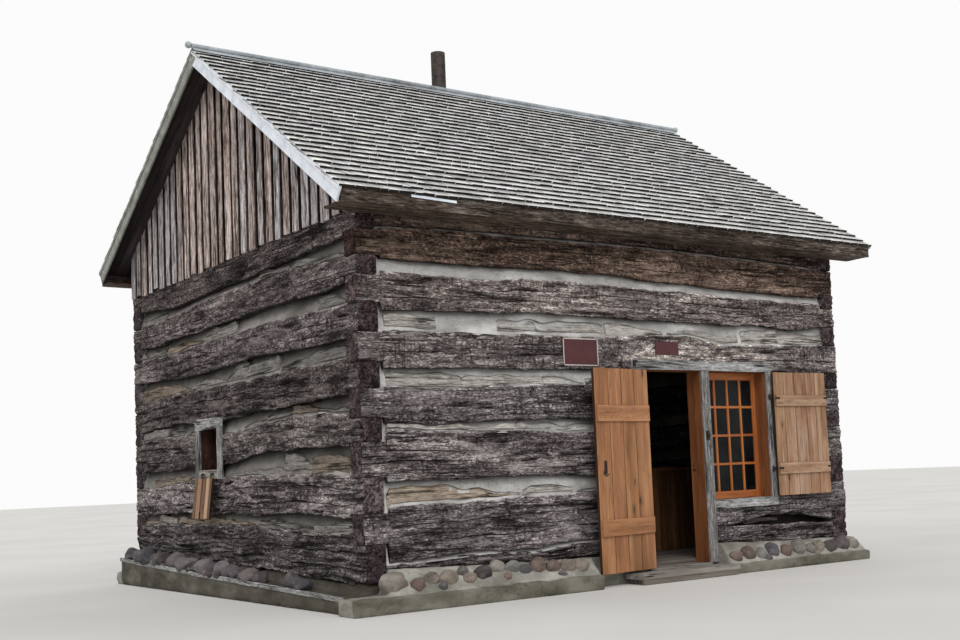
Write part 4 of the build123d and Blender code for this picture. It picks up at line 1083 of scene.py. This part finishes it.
def leaf_boards(piece, place, x0, x1, q_range, s_range, count, seed, spread):
    """Upright boards side by side, between x0 and x1, with painted shade on their flanks."""
    rng = np.random.default_rng(seed)
    edges = np.linspace(x0, x1, count + 1) + np.concatenate([[0], rng.uniform(-0.012, 0.012, count - 1), [0]])
    for number, (a, b) in enumerate(zip(edges, edges[1:])):
        tone = rng.uniform(1 - spread, 1 + spread)
        board(piece, place, s_range, (a + 0.0015, b - 0.0015), q_range, seed + number,
              (tone, tone * rng.uniform(0.95, 1.0), tone * rng.uniform(0.9, 1.0)), edge=0.003, spacing=0.08,
              shading=painted_flank_shade(0.12))


def leaf(name, shade, axis, degrees, x0, x1, q0, foot, count, seed, spread, batten_height, batten_feet, tint):
    """A hung leaf with its two battens. Returns the place of what lies along its inner face."""
    piece = Piece()
    standing, along = (turned(lying(order, signs=(1, -1, 1)), axis, (0, 1), degrees) for order in ("zqs", "sqz"))
    leaf_boards(piece, standing, x0, x1, (q0, 0.027), (foot, 1.991), count, seed, spread)
    for number, z in enumerate(batten_feet):
        board(piece, along, (x0 + 0.014, x1 - 0.014), (z, z + batten_height), (q0 - 0.020, q0), seed + 10 + number,
              tint, edge=0.004, spacing=0.08)
    piece.make(name + "_leaf_boards", [shade], name + "_board", [name + "_leaf"], name)
    return along


def door():
    battens = (0.456, 1.500)
    along = leaf("door", door_wood, DOOR_AXIS, -DOOR_OPEN, 3.056, 3.809, -0.005, 0.122, 4, 501, 0.07, 0.150, battens,
                 (1.04, 1.02, 1.0))
    heads = Piece()
    rng = np.random.default_rng(9)
    for foot in battens:
        for k in range(10):
            x = 3.092 + k * 0.0755 + rng.uniform(-0.008, 0.008)
            for z in (foot + 0.04, foot + 0.112):
                dome(heads, along, x, -0.0255, z + rng.uniform(-0.006, 0.006), 0.0038, 0.002, sides=6)
    hook = np.array([(3.66, 1.02), (3.70, 1.005), (3.73, 1.02), (3.725, 1.05)])
    for start, end in zip(hook, hook[1:]):
        for share in np.linspace(0, 1, 8):
            x, z = start + (end - start) * share
            dome(heads, along, x, -0.0055, z, 0.003, 0.006, sides=5)
    heads.make("door_nails", [iron], "iron", body="door")


def shutter():
    battens = (0.940, 1.640)
    along = leaf("shutter", shutter_wood, SHUTTER_AXIS, SHUTTER_OPEN, 3.931, 4.736, 0.001, 0.722, 5, 601, 0.1, 0.112,
                 battens, (1.02, 1.0, 0.98))
    heads = Piece()
    for foot in battens:
        for k in range(6):
            for z in (foot + 0.03, foot + 0.082):
                dome(heads, along, 3.99 + k * 0.138, -0.0195, z, 0.0045, 0.002, sides=6)
    for z in (1.000, 1.722):
        for span, half, seed in (((4.672, 4.735), 0.011, 621), ((3.932, 3.985), 0.009, 622)):
            board(heads, along, span, (z - half, z + half), (-0.023, -0.019), seed, edge=0.001)
    heads.make("shutter_nails", [iron], "iron", body="shutter")


def gable_window():
    near, far, foot, head = 2.930, 3.390, 1.230, 1.645
    lower, outer = foot - 0.095, (-0.025, 0.0)
    worn = dict(spacing=0.04)
    rows = [(dict(spacing=0.04, ragged=0.003), upright_left, (lower, head), (near - 0.105, near), outer, 701, 1.15),
            (dict(spacing=0.04, ragged=0.003), upright_left, (lower, head), (far, far + 0.105), outer, 702, 1.05),
            (dict(spacing=0.03, ragged=0.012), on_left, (near - 0.105, far + 0.105), (head, head + 0.100), outer,
             703, 1.2),
            (worn, on_left, (near, far), (lower, foot), outer, 704, (1.1, 1.0, 0.9))]
    # Reveal boards are tinted dark red-brown: their own colour, darkened further as painted shade of the opening.
    for y, way in ((near, -1), (far, 1)):
        rows.append(({}, lying("zqs", (0, y, 0), (1, way, 1)), (foot, head), (0.0, 0.189), (0.0, 0.020), 711,
                     (0.22, 0.10, 0.07)))
    for z, way in ((foot, -1), (head, 1)):
        rows.append(({}, lying("zsq", (0, 0, z), (1, 1, way)), (near - 0.02, far + 0.02), (0.0, 0.189),
                     (0.0, 0.020), 713, (0.30, 0.12, 0.08)))
    boarded_piece("gable_window_boards", grey, "grey_board", "gable_window_frame", *rows)

    outside, inside = (turned(lying("qzs", signs=(sign, 1, 1)), FLAP_AXIS[::-1], (2, 0), -FLAP_OPEN)
                       for sign in (1, -1))
    flap, hooks = Piece(), Piece()
    low, top = FLAP_AXIS[1] + 0.047, head - 0.006
    for number, (a, b, end, tint) in enumerate((
            (2.936, 2.990, top, 0.65), (2.992, 3.082, top, 1.75), (3.090, 3.172, top, 0.85),
            (3.210, 3.296, top, 1.75), (3.299, 3.384, top, 0.70), (3.174, 3.208, top - 0.070, (0.5, 0.4, 0.34)))):
        tint = tint if isinstance(tint, tuple) else (tint, tint * 0.96, tint * 0.92)
        # Flap boards get painted shade on their flanks.
        board(flap, inside, (low, end), (a, b), (0.006, 0.030), 721 + number, tint, edge=0.003,
              shading=painted_flank_shade(0.12))
    flap.make("gable_flap_boards", [flap_wood], "shutter_board", ["gable_flap"], "flap")
    # Corners of the rings of an eye: outer and inner at one side, then at the other
    angles, k = np.linspace(0, 2 * math.pi, 13)[:-1], np.arange(12)
    n = (k + 1) % 12
    sides = ((k, n, n + 24, k + 24), (n + 12, k + 12, k + 36, n + 36), (n, k, k + 12, n + 12),
             (k + 24, n + 24, n + 36, k + 36))
    quads = np.concatenate([stacked(*corners) for corners in sides])
    for y in (near + 0.110, near + 0.350):
        board(hooks, outside, (FLAP_AXIS[1], FLAP_AXIS[1] + 0.140), (y - 0.013, y + 0.013), (-0.036, -0.030), 731,
              edge=0.002)
        eye = np.concatenate([stacked(FLAP_AXIS[0] + radius * np.cos(angles), np.full(12, y + shift),
                                      FLAP_AXIS[1] + radius * np.sin(angles))
                              for shift in (-0.013, 0.013) for radius in (0.010, 0.006)])
        hooks.add(eye, [(quads, 0)], eye)
    hooks.make("gable_flap_hooks", [iron], "iron", body="flap")


def barrier():
    piece = Piece()
    start, end, y = LENGTH - LOG - 1.321, LENGTH - LOG, (1.400, 1.426)
    thick = (y[0] - 0.026, y[1] + 0.026)
    leaf_boards(piece, upright_front, start + 0.060, end, y, (0.150, 1.022), 8, 801, 0.2)
    board(piece, upright_front, (0.150, 1.020), (start, start + 0.060), thick, 811, (1.7, 1.6, 1.5))
    board(piece, on_front, (start, end), (1.020, 1.060), thick, 812, (1.3, 1.25, 1.2))
    dome(piece, on_front, start + 0.03, thick[0], 0.89, 0.016, 0.02, (2.4, 2.2, 2.0), 10)
    piece.make("entry_barrier_boards", [barrier_wood], "barrier_board", ["entry_barrier"])


def plates():
    """Two bare plates, the larger one with a pale rim."""
    piece = Piece()
    flat = dict(ragged=0.0, bow=0.0, end_shift=0.0)
    for number, (x, z, width, height) in enumerate(PLATES):
        board(piece, on_front, (x, x + width), (z, z + height), (-0.0045, 0.0), 821 + number, edge=0.001, rows=1,
              **flat)
        if number == 0:
            rim, x0, x1, z0, z1 = 0.010, x + 0.002, x + width - 0.002, z + 0.002, z + height - 0.002
            for span, rise in (((x0, x1), (z0, z0 + rim)), ((x0, x1), (z1 - rim, z1)), ((x0, x0 + rim), (z0, z1)),
                               ((x1 - rim, x1), (z0, z1))):
                board(piece, on_front, span, rise, (-0.0060, -0.0040), 831, edge=0.0005, rows=0, materials=(1, 1),
                      **flat)
    piece.make("sign_plates_bare", [plate_face, plate_edge], "plate", ["sign_plates"])


for build in (frame_boards, sash, floor_and_step, door, shutter, gable_window, barrier, plates):
    build()


# Footings and stones
def masonry(node, voxel, seed, roughness):
    """A CAD footing with a trowelled and weathered surface."""
    copy = bpy.data.objects.new(node + "_copy", nodes[node].data.copy())
    bpy.context.scene.collection.objects.link(copy)
    copy.modifiers.new("weld", "WELD").merge_threshold = 0.0005
    remesh = copy.modifiers.new("remesh", "REMESH")
    remesh.mode, remesh.voxel_size = "VOXEL", voxel
    bpy.context.view_layer.update()
    made = bpy.data.meshes.new_from_object(copy.evaluated_get(bpy.context.evaluated_depsgraph_get()))
    bpy.data.objects.remove(copy)
    points = np.zeros(len(made.vertices) * 3)
    made.vertices.foreach_get("co", points)
    normals = np.zeros(len(made.vertices) * 3, np.float32)
    made.vertex_normals.foreach_get("vector", normals)
    points, normals = points.reshape(-1, 3), normals.reshape(-1, 3)
    lift = noise(points, 0.16, seed, 3) * roughness + noise(points, 0.04, seed + 1, 2) * roughness * 0.35
    points = points + normals * np.where(points[:, 2] < 0.004, 0, lift)[:, None]
    points[:, 2] = np.maximum(points[:, 2], 0)
    made.vertices.foreach_set("co", points.astype(np.float32).ravel())
    made.polygons.foreach_set("use_smooth", np.full(len(made.polygons), True))
    made.materials.clear()
    made.materials.append(bank_mortar.material)
    x, y, z = (points + CENTRE).T
    tint = np.ones((len(points), 3))
    if node.startswith("front"):
        tint[(y < -0.225) & (z < 0.15)] = (0.52, 0.51, 0.46)
    if node == "left_foundation":
        tint[:] = (0.30, 0.27, 0.25)
        tint[x < -0.185] = (0.42, 0.40, 0.37)
    if node == "doorway_foundation":
        tint[:] = 0.5
    set_attribute(made, "wear", np.zeros(len(points)))
    set_attribute(made, "tint", tint)
    made.update()
    put_in_frame(node + "_masonry", made, "cabin", [node])


for number, (node, voxel, roughness) in enumerate((
        ("front_foundation_left", 0.018, 0.012), ("front_foundation_right", 0.018, 0.012),
        ("doorway_foundation", 0.03, 0.004), ("left_foundation", 0.03, 0.012), ("back_foundation", 0.04, 0.012),
        ("right_foundation", 0.04, 0.012))):
    masonry(node, voxel, 900 + number, roughness)


def ball():
    made = bmesh.new()
    bmesh.ops.create_icosphere(made, subdivisions=3, radius=1)
    points = np.array([vertex.co[:] for vertex in made.verts])
    faces = np.array([[vertex.index for vertex in face.verts] for face in made.faces])
    made.free()
    return points, faces


BALL, BALL_FACES = ball()
STONES = [linear(*c)[:3] for c in ((132, 108, 96), (126, 118, 112), (98, 94, 98), (148, 132, 116), (124, 88, 76),
                                   (112, 104, 102), (140, 136, 130), (92, 80, 80), (152, 142, 130), (114, 90, 82))]
DARK_STONES = [linear(*c)[:3] for c in ((96, 88, 91), (76, 72, 80), (110, 99, 96), (86, 74, 76), (122, 114, 112))]
BANK_TOP = 0.335
# For each half of the front bank: height of its foot, growth and shift of its stones, their greatest length,
# the first seed, and the place along the front, height and size of each stone
BANKS = (
    (0.133, 1.12, 0, 0, 1.35, 1000,
     ((0.190, 0.225, 0.095), (0.400, 0.195, 0.062), (0.540, 0.230, 0.062), (0.700, 0.230, 0.070),
      (0.860, 0.260, 0.048), (0.905, 0.205, 0.050), (1.060, 0.235, 0.072), (1.210, 0.270, 0.062),
      (1.370, 0.262, 0.066), (1.500, 0.230, 0.048), (1.640, 0.250, 0.072), (1.790, 0.235, 0.062),
      (1.950, 0.220, 0.066), (2.100, 0.215, 0.070), (0.620, 0.165, 0.036), (1.290, 0.190, 0.036),
      (1.860, 0.170, 0.034))),
    (0.095, 1.16, -0.03, -0.026, 1.3, 1100,
     ((4.060, 0.185, 0.062), (4.240, 0.200, 0.070), (4.400, 0.180, 0.056), (4.585, 0.205, 0.074),
      (4.780, 0.185, 0.066), (4.970, 0.205, 0.076), (5.130, 0.180, 0.056), (5.280, 0.200, 0.072),
      (5.450, 0.185, 0.066), (5.640, 0.205, 0.080), (5.810, 0.190, 0.062), (4.480, 0.135, 0.036),
      (5.200, 0.130, 0.036))))


def stone(piece, centre, radii, seed, palette=STONES, sides=6, least=0.68):
    """A worn fieldstone: a ball pulled out of true and flattened on a few sides."""
    rng = np.random.default_rng(seed)
    points = BALL.copy()
    for _ in range(sides):
        direction = rng.normal(size=3)
        direction /= np.linalg.norm(direction)
        over = np.clip(points @ direction - rng.uniform(least, 0.92), 0, None)
        points = points - over[:, None] * direction * 0.92
    points = points * (1 + noise(BALL, 0.7, seed, 2)[:, None] * 0.16)
    turn = rng.uniform(0, math.pi)
    mixed = np.array([[math.cos(turn), 0, math.sin(turn)], [0, 1, 0], [-math.sin(turn), 0, math.cos(turn)]])
    points = (points @ mixed.T) * radii + centre
    points[:, 2] = np.maximum(points[:, 2], 0.0)
    tint = np.array(palette[int(rng.integers(len(palette)))]) * rng.uniform(0.75, 1.05)
    piece.add(points, [(BALL_FACES, 0)], points, tint * 0.72 + tint.mean() * 0.28)


def bank_stones():
    piece = Piece()
    rng = np.random.default_rng(77)
    for base, growth, shift_x, shift_z, longest, seed, rows in BANKS:
        for number, (x, z, size) in enumerate(rows):
            radius, x, z = size * growth, x + shift_x, z + shift_z
            share = np.clip((BANK_TOP - z) / (BANK_TOP - base), 0, 1)
            y = -0.020 - share * 0.180 + radius * 0.05
            radii = radius * rng.uniform(1.1, longest), radius * 0.75, radius * rng.uniform(0.9, 1.1)
            stone(piece, (x, y, z), radii, seed + number)
    piece.make("bank_stones", [fieldstone], "fieldstone")
    return rng


def ledge_top(y):
    return np.interp(y, (0.02, 2.687, DEPTH), (0.135, 0.205, 0.290))


def ledge_stones(rng):
    """Stones along the gable wall, larger towards the back, with a gap where a pipe comes out."""
    piece = Piece()
    y, number = 0.85, 0
    dark = (DARK_STONES, 11, 0.55)
    while y < DEPTH - 0.05:
        far = y / DEPTH
        if 1.25 < y < 1.75:
            y = 1.75
        radius = rng.uniform(0.068, 0.088 + 0.052 * far)
        x, z = rng.uniform(-0.15, -0.09), float(ledge_top(y))
        stone(piece, (x, y, z + radius * 0.50), (radius, radius * rng.uniform(1.0, 1.4), radius * 0.85),
              1200 + number, *dark)
        if far > 0.4 and rng.random() < 0.45:
            small = radius * 0.65
            stone(piece, (rng.uniform(-0.19, -0.16), y + radius, z + small * 0.4), (small, small * 1.3, small * 0.8),
                  1400 + number, *dark)
        y += radius * rng.uniform(1.5, 2.0)
        number += 1
    piece.make("ledge_stones", [fieldstone], "fieldstone")


def ledge_edging():
    piece = Piece()
    stations = np.linspace(0.03, DEPTH - 0.01, 60)
    top = ledge_top(stations) + line_noise(stations, 0.4, 3, 2) * 0.004
    bar(piece, on_left, stations, top - 0.030, top + 0.010, ring(0.018, 0.003, 2), -0.208, tint=1.1)
    piece.make("ledge_edging", [grey], "grey_board")


ledge_stones(bank_stones())
ledge_edging()

# CAD nodes that keep their own shape
for node, shade in (("hinge_pins", iron), ("door_irons", iron), ("shutter_irons", iron), ("ridge_cap", ridge_metal),
                    ("stovepipe", pipe_metal), ("window_glass", glass)):
    mesh = nodes[node].data
    mesh.materials.clear()
    mesh.materials.append(shade.material)


# Stage, light and camera
def stage():
    mesh = bpy.data.meshes.new("floor")
    reach = 90.0
    mesh.from_pydata([(-reach, -reach, 0), (reach, -reach, 0), (reach, reach, 0), (-reach, reach, 0)], [],
                     [(0, 1, 2, 3)])
    floor = bpy.data.objects.new("studio_floor", mesh)
    bpy.context.scene.collection.objects.link(floor)
    shade = Shader("studio_floor", 0.95, 0.05)
    shade.finish(shade.noise(shade.solid(), 0.3, 2).ramp((0.4, (216, 214, 210)), (0.6, (222, 220, 217))))
    mesh.materials.append(shade.material)

    world = bpy.data.worlds.new("studio")
    bpy.context.scene.world = world
    tree = Tree(world)
    background = tree.nodes["Background"].inputs
    background["Color"].default_value = (1, 1, 1, 1)
    path = tree.node("LightPath", {}).socket.node.outputs
    seen = [Value(tree, path[f"Is {kind} Ray"]) for kind in ("Camera", "Glossy", "Transmission")]
    strength = tree.node("MapRange", {0: seen[0].most(seen[1]).most(seen[2]), 3: 0.72, 4: 0.97})
    tree.links.new(strength.socket, background["Strength"])

    sun = bpy.data.objects.new("soft_sun", bpy.data.lights.new("soft_sun", "SUN"))
    sun.data.energy = 1.25
    sun.data.angle = math.radians(35)
    sun.rotation_euler = (math.radians(48), 0, math.radians(-28))
    bpy.context.scene.collection.objects.link(sun)

    camera = bpy.data.objects.new("camera", bpy.data.cameras.new("camera"))
    camera.location = (-7.7910, -11.4642, 1.0591)
    camera.rotation_euler = [math.radians(angle) for angle in (94.7004, 2.4687, -35.9709)]
    lens = camera.data
    lens.sensor_width, lens.lens, lens.shift_x, lens.shift_y, lens.clip_end = 36, 46.347, -0.0399, 0.0543, 300
    bpy.context.scene.collection.objects.link(camera)
    bpy.context.scene.camera = camera
    bpy.context.scene.view_settings.view_transform = "Standard"


stage()
